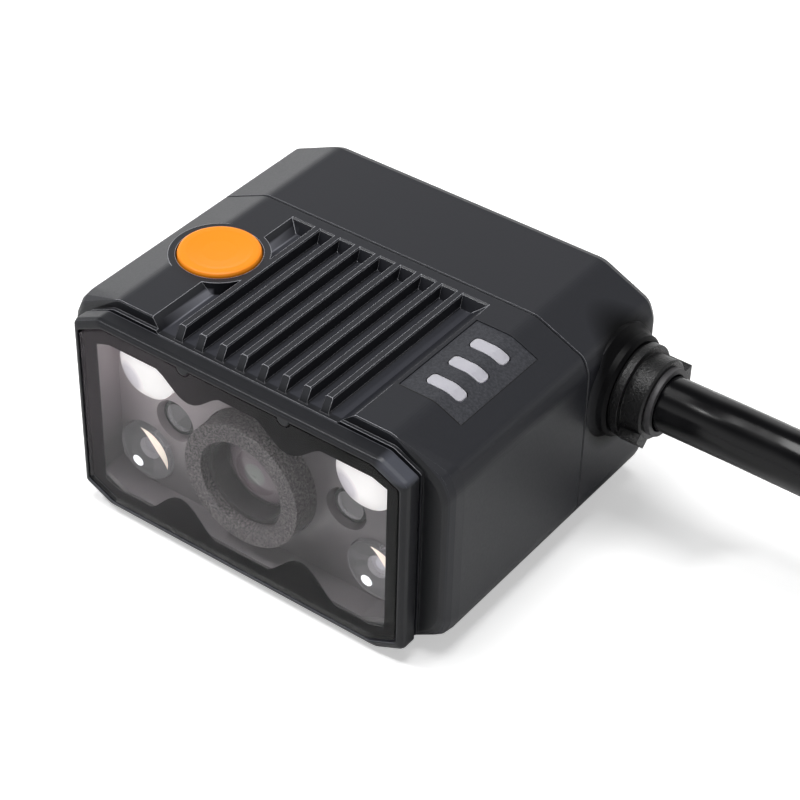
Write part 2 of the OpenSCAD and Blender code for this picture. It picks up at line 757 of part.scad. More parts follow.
module front_bezel() {
    color(trim_black) difference() {
        union() {
            hull() for (b = BEZEL_ROUND)
                along_y(y_front + b[0], frame_y) octagon_shape(bezel_hw - b[1], bezel_hh - b[1]);
            along_y(frame_y - cut, cavity_y - fit_gap) octagon_shape(spigot_hw, spigot_hh);
        }
        along_y(y_front - cut, ledge_y) difference() {
            octagon_shape(rebate_hw, rebate_hh);
            for (sx = sides) translate([sx * lobe_top_x, bezel_z + rebate_hh]) circle(r = notch_r);
        }
        along_y(ledge_y - cut, cavity_y + cut) octagon_shape(ledge_hw, ledge_hh);
    }
}

notch_r = 0.75;

// The bezel's rounded front edge: way back from the face, and step in from the side
BEZEL_ROUND = [[0, 0.62], [0.1, 0.34], [0.32, 0.12], [0.75, 0]];

module window_shape() {
    difference() {
        octagon_shape(window_hw, window_hh);
        for (sx = sides) translate([sx * lobe_top_x, bezel_z + rebate_hh]) circle(r = notch_r + window_gap);
    }
}

module front_window() {
    color(lens_clear, 0.35) along_y(window_y, mask_y) window_shape();
}

// Outline of the clear opening in the print: straight borders with cut corners and four lobes
mask_hw = window_hw - mask_side;
mask_z1 = bezel_z + window_hh - mask_top;
mask_z0 = bezel_z - window_hh + mask_bottom;
mask_cut = [1.9, 0.65];
lobe_half = 4.3;
lobe_steps = 10;

// Half-cosine lobe, from one foot to the other, at the given side of the opening
function lobe(x, z, deep, half) = [
    for (i = [0:lobe_steps])
        let (s = i / lobe_steps * 2 - 1)
            [x + s * half, z + deep * pow(cos(90 * s), 1.4)]
];

module mask_opening() {
    polygon(concat(
        [[-mask_hw, mask_z0 + mask_cut.y], [-mask_hw + mask_cut.x, mask_z0]],
        lobe(-lobe_low_x, mask_z0, lobe_low_deep, lobe_half + 0.3),
        lobe(lobe_low_x, mask_z0, lobe_low_deep, lobe_half + 0.3),
        [[mask_hw - mask_cut.x, mask_z0], [mask_hw, mask_z0 + mask_cut.y]],
        [[mask_hw, mask_z1 - mask_cut.y], [mask_hw - mask_cut.x, mask_z1]],
        [for (p = [lobe_steps:-1:0]) lobe(lobe_top_x, mask_z1, -lobe_top_deep, lobe_half)[p]],
        [for (p = [lobe_steps:-1:0]) lobe(-lobe_top_x, mask_z1, -lobe_top_deep, lobe_half)[p]],
        [[-mask_hw + mask_cut.x, mask_z1], [-mask_hw, mask_z1 - mask_cut.y]]
    ));
}

module window_mask() {
    color(trim_black) along_y(mask_y, window_seal_y) difference() {
        window_shape();
        mask_opening();
    }
}

module window_seal() {
    color("#3a3a3a") along_y(window_seal_y, ledge_y) difference() {
        octagon_shape(window_hw - fit_gap, window_hh - fit_gap);
        octagon_shape(ledge_hw + fit_gap, ledge_hh + fit_gap);
        for (sx = sides) translate([sx * lobe_top_x, bezel_z + rebate_hh]) circle(r = notch_r + window_gap);
    }
}

module bezel_seal() {
    color("#151515") along_y(frame_y, lip_y) difference() {
        octagon_shape(bezel_hw - groove_in, bezel_hh - groove_in);
        octagon_shape(spigot_hw + fit_gap, spigot_hh + fit_gap);
    }
}

cup_gap = 0.15;

module optics_plate() {
    // A tray: the plate, and a rim that lines the opening up to the window
    color("#8b8b8e", 0.8) difference() {
        along_y(tray_y, cavity_y) octagon_shape(plate_hw, plate_hh);
        along_y(tray_y - cut, plate_y) octagon_shape(plate_hw - tray_wall, plate_hh - tray_wall);
        round_y(0, lens_z, plate_y - cut, cavity_y + cut, hood_r + cup_gap);
        for (sx = sides) {
            round_y(sx * cup_at.x, cup_at.y, plate_y - cut, cavity_y + cut, cup_r + cup_gap);
            round_y(sx * led_lens_at.x, led_lens_at.y, plate_y - cut, cavity_y + cut, lens_r + cup_gap);
            translate([sx * port_x, plate_y - slip, port_z]) rotate([-90, 0, 0])
                cylinder(r1 = port_r, r2 = aimer_r + cup_gap, h = plate_t + 2 * slip);
        }
    }
}

lamp_room = 0.2;

// A round dome on the lighting board that looks along -Y, hollowed for its lamp
module dome(at, r, rim, cap) {
    ball = (r * r + cap * cap) / (2 * cap);
    translate([at.x, cavity_y, at.y]) rotate([90, 0, 0]) difference() {
        union() {
            cylinder(r = r, h = rim);
            intersection() {
                translate([0, 0, rim + cap - ball]) sphere(r = ball);
                translate([0, 0, rim - slip]) cylinder(r = r, h = cap + cut);
            }
        }
        translate([0, 0, -cut]) cylinder(r = lamp_r + lamp_room, h = lamp_h + lamp_room + cut);
    }
}

module diffuser_domes() {
    color("#f2f2f2") for (sx = sides) dome([sx * cup_at.x, cup_at.y], cup_r, plate_t + cup_rise, cup_cap);
}

module illumination_lenses() {
    color(lens_clear, 0.5) for (sx = sides)
        dome([sx * led_lens_at.x, led_lens_at.y], lens_r, plate_t + lens_rise, lens_cap);
}

port_taper = 0.5;
aimer_r = port_r - port_taper;
aimer_wall = 0.4;
aimer_len = 0.9;
aimer_ball = 3.3;
aimer_sag = 0.5;

module aimer_modules() {
    color(trim_black) for (sx = sides) difference() {
        round_y(sx * port_x, port_z, cavity_y - aimer_len, cavity_y, aimer_r);
        round_y(sx * port_x, port_z, cavity_y - aimer_len - cut, cavity_y + cut, aimer_r - aimer_wall);
    }
}

module aimer_lenses() {
    color(lens_clear, 0.5) for (sx = sides)
        translate([sx * port_x, cavity_y, port_z]) rotate([90, 0, 0]) intersection() {
            cylinder(r = aimer_r - aimer_wall - slip, h = aimer_len);
            translate([0, 0, aimer_len + aimer_sag - aimer_ball]) sphere(r = aimer_ball);
        }
}

module lens_hood() {
    color("#5a5a5c") difference() {
        round_y(0, lens_z, hood_y, cavity_y, hood_r);
        round_y(0, lens_z, hood_y - cut, cavity_y + cut, hood_r - hood_wall);
        round_y(0, lens_z, barrel_y - slip, cavity_y + cut, barrel_r + slip);
    }
}

barrel_back = 2.2;
barrel_back_y = sensor_y - barrel_back;
barrel_step = 0.9;
glass_t = 2.6;
glass_sag = 1;
glass_ball = 9;
rear_ball = 8;
mount_edge = 0.7;
mount_hw = barrel_r + mount_edge;
mount_len = 7.4;

module lens_barrel() {
    color(trim_black) difference() {
        round_y(0, lens_z, barrel_y, barrel_back_y, barrel_r);
        round_y(0, lens_z, barrel_y - cut, barrel_y + 2 * glass_t, barrel_bore);
        round_y(0, lens_z, barrel_y, barrel_back_y + cut, barrel_bore - barrel_step);
    }
}

module lens_glass() {
    color("#6a6480", 0.6) translate([0, barrel_y + 2 * glass_t, lens_z]) rotate([90, 0, 0]) intersection() {
        cylinder(r = barrel_bore - slip, h = 2 * glass_t);
        translate([0, 0, 2 * glass_t - glass_sag - glass_ball]) sphere(r = glass_ball);
    }
}

module lens_rear_glass() {
    color(lens_clear, 0.5) translate([0, barrel_back_y - fit_gap, lens_z]) rotate([90, 0, 0]) intersection() {
        cylinder(r = barrel_bore - barrel_step - slip, h = glass_t);
        translate([0, 0, glass_t - rear_ball]) sphere(r = rear_ball);
    }
}

sensor_chip = [8, 1, 6.4];
chip_room = 0.6;

module lens_mount() {
    color("#26272b") difference() {
        along_y(sensor_y - mount_len, sensor_y) translate([-mount_hw, lens_z - mount_hw])
            square([2 * mount_hw, 2 * mount_hw]);
        round_y(0, lens_z, sensor_y - mount_len - cut, barrel_back_y, barrel_r + slip);
        round_y(0, lens_z, sensor_y - mount_len, sensor_y, sensor_chip.z / 2);
        along_y(sensor_y - sensor_chip.y - chip_room, sensor_y + cut)
            translate([-sensor_chip.x / 2 - chip_room, lens_z - sensor_chip.z / 2 - chip_room])
                square([sensor_chip.x + 2 * chip_room, sensor_chip.z + 2 * chip_room]);
        for (s = mount_screws)
            round_y(s.x, s.y, sensor_y - mount_screw_l - fit_gap, sensor_y + cut, hang_screw_r + slip);
    }
}

mount_screw_in = 1.3;
mount_screw_up = 4;
mount_screws = [for (s = sides) [s * (mount_hw - mount_screw_in), lens_z + s * mount_screw_up]];
mount_screw_l = 1.8;
small_head_r = 1.3;
small_head_l = 0.8;

module lens_mount_screws() {
    color(steel) for (s = mount_screws)
        screw_y(s.x, s.y, sensor_y - mount_screw_l, sensor_back_y, hang_screw_r, small_head_r, small_head_l);
}

module image_sensor() {
    color("#2c3140") translate([-sensor_chip.x / 2, sensor_y - sensor_chip.y, lens_z - sensor_chip.z / 2])
        cube(sensor_chip);
}

board_in = wall_t + board_gap;

module led_board() {
    color(board_green) difference() {
        along_y(cavity_y, led_back_y) body_section(board_in, roof_t + board_gap, floor_t + board_gap);
        round_y(0, lens_z, cavity_y - cut, led_back_y + cut, barrel_r + 0.4);
        for (s = led_screws) along_y(cavity_y - cut, led_back_y + cut)
            translate([s.x > 0 ? s.x - led_screw_r - fit_gap : -half_w, s.y - led_screw_r - fit_gap])
                square([half_w - led_screw_x + led_screw_r + fit_gap, 2 * (led_screw_r + fit_gap)]);
    }
}

module illumination_leds() {
    color("#f4e6b0") for (at = [cup_at, led_lens_at], sx = sides)
        round_y(sx * at.x, at.y, cavity_y - lamp_h, cavity_y, lamp_r);
}

module led_board_screws() {
    color(steel) for (s = led_screws)
        screw_y(s.x, s.y, housing_y + 0.8, led_back_y, led_screw_r, led_screw_r + 0.5, small_head_l);
}

spacer_room = [0.5, 0.2];
sensor_top = top_board_z - board_t - small_head_l - board_gap / 2;
spacer_low = insert_deep + insert_roof + spacer_r + spacer_room[0];
spacer_high = sensor_top - spacer_r - spacer_room[1];
spacers = [for (sx = sides, z = [spacer_low, spacer_high]) [sx * spacer_x, z]];
spacer_bore = 0.9;
stack_screw_l = 5;

module sensor_board() {
    color(board_green) difference() {
        along_y(sensor_y, sensor_back_y) intersection() {
            body_section(board_in, 0, floor_t + board_gap);
            translate([-half_w, 0]) square([body_w, sensor_top]);
        }
        for (s = mount_screws) round_y(s.x, s.y, sensor_y - cut, sensor_back_y + cut, hang_screw_r + fit_gap);
    }
}

module main_board() {
    color(board_green) difference() {
        along_y(main_y, main_back_y) body_section(board_in, roof_t + board_gap, floor_t + board_gap);
        for (p = pillars) round_y(p.x, p.y, main_y - cut, main_back_y + cut, pillar_r + 0.3);
        for (s = spacers) round_y(s.x, s.y, main_y - cut, main_back_y + cut, spacer_bore + fit_gap);
    }
}

module spacer_row(y0, y1) {
    for (s = spacers) difference() {
        round_y(s.x, s.y, y0, y1, spacer_r);
        round_y(s.x, s.y, y0 - cut, y1 + cut, spacer_bore + slip);
    }
}

module front_spacers() {
    color(steel) spacer_row(led_back_y, sensor_y);
}

module rear_spacers() {
    color(steel) spacer_row(sensor_back_y, main_y);
}

module stack_screws() {
    color(steel) for (s = spacers)
        screw_y(s.x, s.y, main_y - stack_screw_l, main_back_y, spacer_bore, spacer_r, small_head_l);
}

chip_t = 1.1;
processor_w = 12;
memory_w = [8, 6];

module processor_chips() {
    color("#1a1a1c") {
        translate([-processor_w / 2, main_y - chip_t, mid_z - processor_w / 2 - 0.5])
            cube([processor_w, chip_t, processor_w]);
        translate([-memory_w.x - 2, main_back_y, mid_z - memory_w.y]) cube([memory_w.x, chip_t, memory_w.y]);
    }
}

socket_x = [3.5, 9.5];
socket_hz = 2.8;
cable_in_x = cable_route[0].x;
wire_r = 0.5;
wire_ring = 1.5;
wire_count = 6;

module cable_socket() {
    color("#e8e4d8") translate([socket_x[0], main_back_y, gland_z - socket_hz])
        cube([socket_x[1] - socket_x[0], gland_y + 2.2 - main_back_y, 2 * socket_hz]);
}

module cable_wires() {
    for (i = [0:wire_count - 1]) let (a = i * 360 / wire_count)
        color(["#c8342c", "#2c2c2c", "#3c7bd0", "#e8e8e8", "#48a050", "#e0b030"][i])
            translate([socket_x[1], gland_y + wire_ring * cos(a), gland_z + wire_ring * sin(a)])
                rotate([0, 90, 0]) cylinder(r = wire_r, h = cable_in_x - socket_x[1]);
}

module top_board() {
    color(board_green) difference() {
        translate([-top_board_hw, top_board_y0, top_board_z - board_t])
            cube([2 * top_board_hw, top_board_y1 - top_board_y0, board_t]);
        for (h = hangers) translate([h.x, h.y, top_board_z - board_t - cut])
            cylinder(r = hang_screw_r + fit_gap, h = board_t + 2 * cut);
        for (p = pillars_top) round_y(p.x, p.y, pillar_y - board_gap, seam_y, pillar_r + board_gap);
    }
}

module top_board_screws() {
    color(steel) for (h = hangers) translate([h.x, h.y, top_board_z - board_t]) difference() {
        union() {
            translate([0, 0, -small_head_l]) cylinder(r = small_head_r, h = small_head_l);
            cylinder(r = hang_screw_r, h = board_t + hang_screw_l - cut - 0.4);
        }
        translate([0, 0, -small_head_l]) mirror([0, 0, 1]) cross_recess(small_head_r, small_head_l * 0.5);
    }
}

module button_switch() {
    color("#1c1c1e") translate([button_x, button_y, top_board_z]) difference() {
        translate([-switch_w / 2, -switch_w / 2, 0]) cube([switch_w, switch_w, switch_h]);
        translate([0, 0, -cut]) cylinder(r = plunger_r + button_gap, h = switch_h + 2 * cut);
    }
}

module switch_plunger() {
    color("#dcdcdc") translate([button_x, button_y, top_board_z + button_travel + plunger_gap])
        cylinder(r = plunger_r, h = stem_z - top_board_z - button_travel - plunger_gap);
}

dish_r = 3.2;
flange_gap = 0.3;
cap_soft = 0.35;

module trigger_button() {
    // Cap with a shallow dish, retaining flange and stem, turned about the button's axis
    flange_z = lip_z - flange_gap;
    top_z = body_h + button_proud;
    color("#f08a1d") translate([button_x, button_y, 0]) rotate_extrude() polygon([
        [0, stem_z], [stem_r, stem_z], [stem_r, flange_z - button_flange_t],
        [button_r + flange_out, flange_z - button_flange_t], [button_r + flange_out, flange_z],
        [button_r, flange_z], [button_r, top_z - cap_soft],
        [button_r - cap_soft * 0.3, top_z - cap_soft * 0.3],
        [button_r - cap_soft, top_z], [dish_r + 0.5, top_z], [dish_r, top_z - button_dish * 0.3],
        [dish_r * 0.6, top_z - button_dish * 0.8], [0, top_z - button_dish]
    ]);
}

pipe_lamp = [1.6, 0.8, 0.7];

module status_leds() {
    color("#f0f0e0") for (y = pipe_y)
        translate([pipe_x + pipe_len / 2 - pipe_lamp.x / 2, y - pipe_lamp.y / 2, top_board_z])
            cube(pipe_lamp);
}

module status_light_pipes() {
    color("#dfe0e3") for (y = pipe_y) intersection() {
        translate([0, 0, top_board_z + pipe_lamp.z + 0.3]) linear_extrude(height = body_h) pipe_shape(y, 0);
        translate([0, 0, -label_deep / 3]) along_y(label_y - cut, label_y + label_len + cut) body_section();
    }
}

module indicator_label() {
    color("#232427") difference() {
        label_slab(0, label_deep - label_t, label_deep);
        for (y = pipe_y) translate([0, 0, mid_z]) linear_extrude(height = body_h) pipe_shape(y, pipe_gap);
    }
}

// Lugs on the collar: turn about the cable's axis, and height above the collar
LUGS = [[0, 1.3], [222, 0.9]];
lug_w = 2.4;
lug_short = 0.2;
lug_end = 0.05;

module gland_body() {
    // Spigot, flange and collar turned about the cable's axis, with two lugs on the collar
    color(trim_black) translate([0, gland_y, gland_z]) {
        rotate([0, 90, 0]) rotate_extrude() polygon([
            [cable_bore, gland_inner_x], [gland_spigot_r, gland_inner_x], [gland_spigot_r, flange_x],
            [flange_r, flange_x], [flange_r, collar_x], [collar_r, collar_x], [collar_r, ring_x - lug_short],
            [collar_r - lug_short, ring_x], [cable_bore, ring_x]
        ]);
        for (l = LUGS) rotate([l[0], 0, 0])
            translate([collar_x - flange_t / 2, cable_bore + lug_short, -lug_w / 2])
                cube([flange_t / 2 + collar_len - lug_end, collar_r + l[1] - cable_bore - lug_short, lug_w]);
    }
}

module gland_ring() {
    color("#8f8f92") difference() {
        round_x(ring_x, gland_end_x, cable_bore + end_ring_t);
        round_x(ring_x - cut, gland_end_x + cut, cable_bore);
    }
}

module gland_nut() {
    color(steel) difference() {
        translate([pad_x - nut_t, gland_y, gland_z]) rotate([30, 0, 0]) rotate([0, 90, 0])
            cylinder(r = nut_r, h = nut_t, $fn = 6);
        round_x(pad_x - nut_t - cut, pad_x + cut, gland_spigot_r + slip);
    }
}

module gland_gasket() {
    color("#151515") difference() {
        round_x(boss_face_x, flange_x, flange_r - 0.2);
        round_x(boss_face_x - cut, flange_x + cut, gland_spigot_r + fit_gap);
    }
}

cable_sides = 12;
plug_at = cable_route[len(cable_route) - 1];

function route_dir(i) = let (n = len(cable_route) - 1)
    i == 0 ? [1, 0, 0] : i == n ? [cos(plug_turn), sin(plug_turn), 0]
    : unit(cable_route[i + 1] - cable_route[i - 1]);

function ring(i) = let (d = route_dir(i), u = unit(cross(d, [0, 0, 1])), v = cross(u, d))
    [for (k = [0:cable_sides - 1]) let (a = k * 360 / cable_sides)
        cable_route[i] + cable_r * (cos(a) * u + sin(a) * v)];

module cable() {
    rings = len(cable_route);
    points = [for (i = [0:rings - 1]) each ring(i)];
    walls = [for (i = [0:rings - 2], k = [0:cable_sides - 1])
        let (a = i * cable_sides, n = (k + 1) % cable_sides)
        [a + k, a + n, a + cable_sides + n, a + cable_sides + k]];
    ends = [
        [for (k = [cable_sides - 1:-1:0]) k],
        [for (k = [0:cable_sides - 1]) (rings - 1) * cable_sides + k]
    ];
    color("#111214") polyhedron(points = points, faces = concat(walls, ends), convexity = 4);
}

// The round plug, on an axis from the cable's end
module plug_axis() {
    translate(plug_at) rotate([0, 0, plug_turn]) rotate([0, 90, 0]) children();
}

rib_r = 1;
rib_out = 0.4;
rib_end = 3;
grip_ribs = 12;
sleeve_r = cable_r + 1.3;

module connector_grip() {
    color(trim_black) plug_axis() difference() {
        rotate_extrude() polygon([
            [0, 0], [sleeve_r - 0.4, 0], [sleeve_r, 0.4], [sleeve_r + 0.6, sleeve_len - 1],
            [grip_r - 1.2, sleeve_len], [grip_r, sleeve_len + 1.4], [grip_r, sleeve_len + grip_len - 0.6],
            [grip_r - 0.6, sleeve_len + grip_len], [0, sleeve_len + grip_len]
        ]);
        for (k = [0:grip_ribs - 1]) rotate([0, 0, (k + 0.5) * 360 / grip_ribs])
            translate([grip_r + rib_out, 0, sleeve_len + rib_end])
                cylinder(r = rib_r, h = grip_len - 2 * rib_end);
        translate([0, 0, shell_z]) cylinder(r = thread_r + slip, h = shell_seat + cut);
    }
}

shell_seat = 4;
shell_z = sleeve_len + grip_len - shell_seat;
oring_t = 1;
insert_sink = 2.5;
key_r = 0.6;

module connector_shell() {
    color(steel) plug_axis() difference() {
        translate([0, 0, shell_z]) cylinder(r = thread_r, h = shell_seat + thread_len);
        translate([0, 0, shell_z - cut])
            cylinder(r = thread_r - shell_t, h = shell_seat + thread_len + 2 * cut);
    }
}

module connector_oring() {
    color("#2d5f3a") plug_axis() translate([0, 0, sleeve_len + grip_len]) difference() {
        cylinder(r = thread_r + 0.7, h = oring_t);
        translate([0, 0, -cut]) cylinder(r = thread_r + slip, h = oring_t + 2 * cut);
    }
}

insert_r_plug = thread_r - shell_t - slip;
pin_len = 5;
pin_sides = 16;
key_len = 3;
insert_z = shell_z + shell_seat + thread_len - insert_sink - pin_len - cut;
pin_rings = [[1, 0], [5, 1.55], [11, 3.4]];

module connector_insert() {
    color("#18181a") plug_axis() difference() {
        translate([0, 0, shell_z]) cylinder(r = insert_r_plug, h = insert_z - shell_z);
        translate([insert_r_plug, 0, insert_z - key_len]) cylinder(r = key_r, h = key_len + cut);
    }
}

module connector_pins() {
    color(brass) plug_axis() for (row = pin_rings, k = [0:row[0] - 1])
        rotate([0, 0, k * 360 / row[0]]) translate([row[1], 0, insert_z])
            cylinder(r = pin_r, h = pin_len, $fn = pin_sides);
}

front_housing();
rear_cover();
housing_seal();
cover_screws();
mounting_inserts();
front_bezel();
front_window();
window_mask();
window_seal();
bezel_seal();
optics_plate();
diffuser_domes();
illumination_lenses();
aimer_modules();
aimer_lenses();
lens_hood();
lens_barrel();
lens_glass();
lens_rear_glass();
lens_mount();
lens_mount_screws();
image_sensor();
led_board();
illumination_leds();
led_board_screws();
sensor_board();
main_board();
front_spacers();
rear_spacers();
stack_screws();
processor_chips();
cable_socket();
cable_wires();
top_board();
top_board_screws();
button_switch();
switch_plunger();
trigger_button();
status_leds();
status_light_pipes();
indicator_label();
gland_body();
gland_ring();
gland_nut();
gland_gasket();
cable();
connector_grip();
connector_shell();
connector_oring();
connector_insert();
connector_pins();
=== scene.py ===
"""Dresses the solids of a compact fixed barcode reader: finishes, cable, painted lens glints and
studio.
"""

import logging
import math
from dataclasses import dataclass, field
from enum import Enum
from typing import Any, Mapping, Optional, Sequence

import bmesh
import bpy
from mathutils import Matrix, Vector


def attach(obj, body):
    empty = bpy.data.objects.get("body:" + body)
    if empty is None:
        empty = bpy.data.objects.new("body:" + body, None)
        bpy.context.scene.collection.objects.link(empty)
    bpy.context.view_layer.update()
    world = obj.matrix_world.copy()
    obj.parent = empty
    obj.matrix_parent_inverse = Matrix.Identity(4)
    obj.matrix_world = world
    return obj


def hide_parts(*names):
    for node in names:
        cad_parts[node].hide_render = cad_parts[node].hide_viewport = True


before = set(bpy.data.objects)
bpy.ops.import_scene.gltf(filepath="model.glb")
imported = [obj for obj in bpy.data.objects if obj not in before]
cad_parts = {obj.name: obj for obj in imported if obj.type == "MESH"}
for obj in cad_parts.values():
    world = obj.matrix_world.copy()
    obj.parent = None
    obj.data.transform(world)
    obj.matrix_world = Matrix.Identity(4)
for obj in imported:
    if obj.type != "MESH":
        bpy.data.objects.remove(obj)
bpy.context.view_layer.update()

LOG = logging.getLogger("reader")
MM = 0.001
BODY = "reader"

# The Mix node's sockets share their names between kinds of value, so they go by number
MIX_FACTOR, MIX_FLOAT_A, MIX_FLOAT_B, MIX_COLOUR_A, MIX_COLOUR_B = 0, 2, 3, 6, 7
MIX_FLOAT_OUT, MIX_COLOUR_OUT = 0, 2

# How rough the small steps of a grain are, and the part of it that shows as lighter specks
GRAIN_ROUGHNESS = 0.6
SPECKLE_RANGE = (0.42, 0.66)
# Edges get a painted highlight where the surface turns, from not at all at the first cosine to
# fully at the second, and only as far as they face the lit side, from the first share to the second
EDGE_SAMPLES = 12
EDGE_TURN = (0.985, 0.92)
LIT_SIDE = (0.25, -0.2, 0.95)
LIT_RANGE = (0.45, 0.68)

Pair = tuple[float, float]
Point = tuple[float, float, float]
Colour = tuple[float, float, float, float]
Tree = bpy.types.NodeTree
Socket = bpy.types.NodeSocket


def linear(hex_colour: str) -> Colour:
    """Turns an sRGB hex colour into linear light, by the straight foot and the power of that curve.

    Args:
        hex_colour: Six hex digits after a hash sign.

    Returns:
        Red, green, blue and a full alpha.
    """
    parts = [int(hex_colour[i : i + 2], 16) / 255 for i in (1, 3, 5)]
    light = [c / 12.92 if c <= 0.04045 else ((c + 0.055) / 1.055) ** 2.4 for c in parts]
    return (light[0], light[1], light[2], 1.0)


def per_metre(size_mm: float) -> float:
    """Gives the scale of a texture.

    Args:
        size_mm: About how often its pattern repeats.

    Returns:
        The repeats in a metre.
    """
    return 1.0 / (size_mm * MM)


def add_node(
    tree: Tree,
    kind: str,
    settings: Optional[Mapping[Any, Any]] = None,
    links: Optional[Mapping[Any, Socket]] = None,
) -> bpy.types.Node:
    """Adds one node with its settings and links.

    Args:
        tree: The material's or world's node tree.
        kind: The node's type name.
        settings: Values for sockets, by name or number, or for the node's own properties.
        links: Output sockets to join to inputs, by name or number.

    Returns:
        The new node.
    """
    node = tree.nodes.new(kind)
    for name, value in (settings or {}).items():
        if isinstance(name, int) or name in node.inputs:
            node.inputs[name].default_value = value
        else:
            setattr(node, name, value)
    for name, socket in (links or {}).items():
        tree.links.new(socket, node.inputs[name])
    return node


def remap(
    tree: Tree,
    value: Socket,
    source: Pair = (0.0, 1.0),
    target: Pair = (0.0, 1.0),
    easing: str = "LINEAR",
) -> Socket:
    """Stretches one range of values to another, held at both ends.

    Args:
        tree: The material's or world's node tree.
        value: The value to stretch.
        source: The ends of its own range.
        target: What it becomes at those ends.
        easing: How it runs between them.

    Returns:
        The stretched value.
    """
    return add_node(
        tree, "ShaderNodeMapRange",
        {
            "interpolation_type": easing,
            "From Min": source[0], "From Max": source[1],
            "To Min": target[0], "To Max": target[1],
        },
        {"Value": value},
    ).outputs["Result"]


def combine(tree: Tree, operation: str, first: Socket, second: Socket) -> Socket:
    """Works out one number from two.

    Args:
        tree: The material's or world's node tree.
        operation: The Math node's operation.
        first: The first number.
        second: The second number.

    Returns:
        The result.
    """
    return add_node(
        tree, "ShaderNodeMath", {"operation": operation}, {0: first, 1: second}
    ).outputs[0]


def lay_over(tree: Tree, under: Socket, over: str, share: Socket) -> Socket:
    """Lays a plain colour over another.

    Args:
        tree: The material's node tree.
        under: The colour below.
        over: The hex colour on top.
        share: How far the top colour covers.

    Returns:
        The mixed colour.
    """
    return add_node(
        tree, "ShaderNodeMix", {"data_type": "RGBA", MIX_COLOUR_B: linear(over)},
        {MIX_FACTOR: share, MIX_COLOUR_A: under},
    ).outputs[MIX_COLOUR_OUT]


def add_object(name: str, data: bpy.types.ID) -> bpy.types.Object:
    """Puts new data into the scene, at the origin.

    Args:
        name: The object's name.
        data: Its mesh, curve, camera or light.

    Returns:
        The new object.
    """
    item = bpy.data.objects.new(name, data)
    bpy.context.scene.collection.objects.link(item)
    return item


def add_mesh(name: str, bm: bmesh.types.BMesh) -> bpy.types.Object:
    """Puts a built mesh into the scene, and frees the builder.

    Args:
        name: The name of the object and its mesh.
        bm: The built mesh.

    Returns:
        The new object.
    """
    mesh = bpy.data.meshes.new(name)
    bm.to_mesh(mesh)
    bm.free()
    return add_object(name, mesh)


class Grain(Enum):
    """How a moulded surface breaks up its light."""

    SPARK = "spark"
    SPECKLED = "speckled"


@dataclass(frozen=True)
class Region:
    """A box of the object, or the round column along X that it holds, with a colour laid over it.
    Most regions carry painted light and painted shade.

    The colour fades in over the outer part of the box that soft gives.
    """

    colour: str
    low_mm: Point
    high_mm: Point
    round: bool = False
    soft: float = 0.02
    specular: Optional[float] = None

    def share(self, tree: Tree, place: Socket) -> Socket:
        """Adds the nodes that tell inside from outside.

        Args:
            tree: The material's node tree.
            place: The place on the object.

        Returns:
            One inside the region, nought outside it.
        """
        sizes = [2.0 / (high - low) for low, high in zip(self.low_mm, self.high_mm)]
        middles = [(high + low) / 2 for low, high in zip(self.low_mm, self.high_mm)]
        unit = add_node(
            tree, "ShaderNodeMapping",
            {
                "Location": [-middle * size for middle, size in zip(middles, sizes)],
                "Scale": [size / MM for size in sizes],
            },
            {"Vector": place},
        )
        apart = add_node(
            tree, "ShaderNodeVectorMath", {"operation": "ABSOLUTE"}, {0: unit.outputs["Vector"]}
        )
        axes = add_node(tree, "ShaderNodeSeparateXYZ", links={"Vector": apart.outputs[0]}).outputs
        if self.round:
            flat = add_node(tree, "ShaderNodeCombineXYZ", links={0: axes["Y"], 1: axes["Z"]})
            wide = add_node(
                tree, "ShaderNodeVectorMath", {"operation": "LENGTH"}, {0: flat.outputs[0]}
            ).outputs["Value"]
        else:
            wide = combine(tree, "MAXIMUM", axes["Y"], axes["Z"])
        most = combine(tree, "MAXIMUM", axes["X"], wide)
        return remap(tree, most, source=(1.0, 1.0 - self.soft))


@dataclass(frozen=True)
class Finish:
    """A named surface, built once and shared by the pieces that wear it."""

    name: str

    def material(self) -> bpy.types.Material:
        """Builds the material, or finds it if it was built before.

        Returns:
            The material.
        """
        if self.name in bpy.data.materials:
            return bpy.data.materials[self.name]
        material = bpy.data.materials.new(self.name)
        material.use_nodes = True
        tree = material.node_tree
        tree.nodes.clear()
        add_node(tree, "ShaderNodeOutputMaterial", links={"Surface": self.surface(tree)})
        return material

    def surface(self, tree: Tree) -> Socket:
        """Adds the finish's own nodes.

        Args:
            tree: The material's node tree.

        Returns:
            The shader that the surface shows.
        """
        raise NotImplementedError


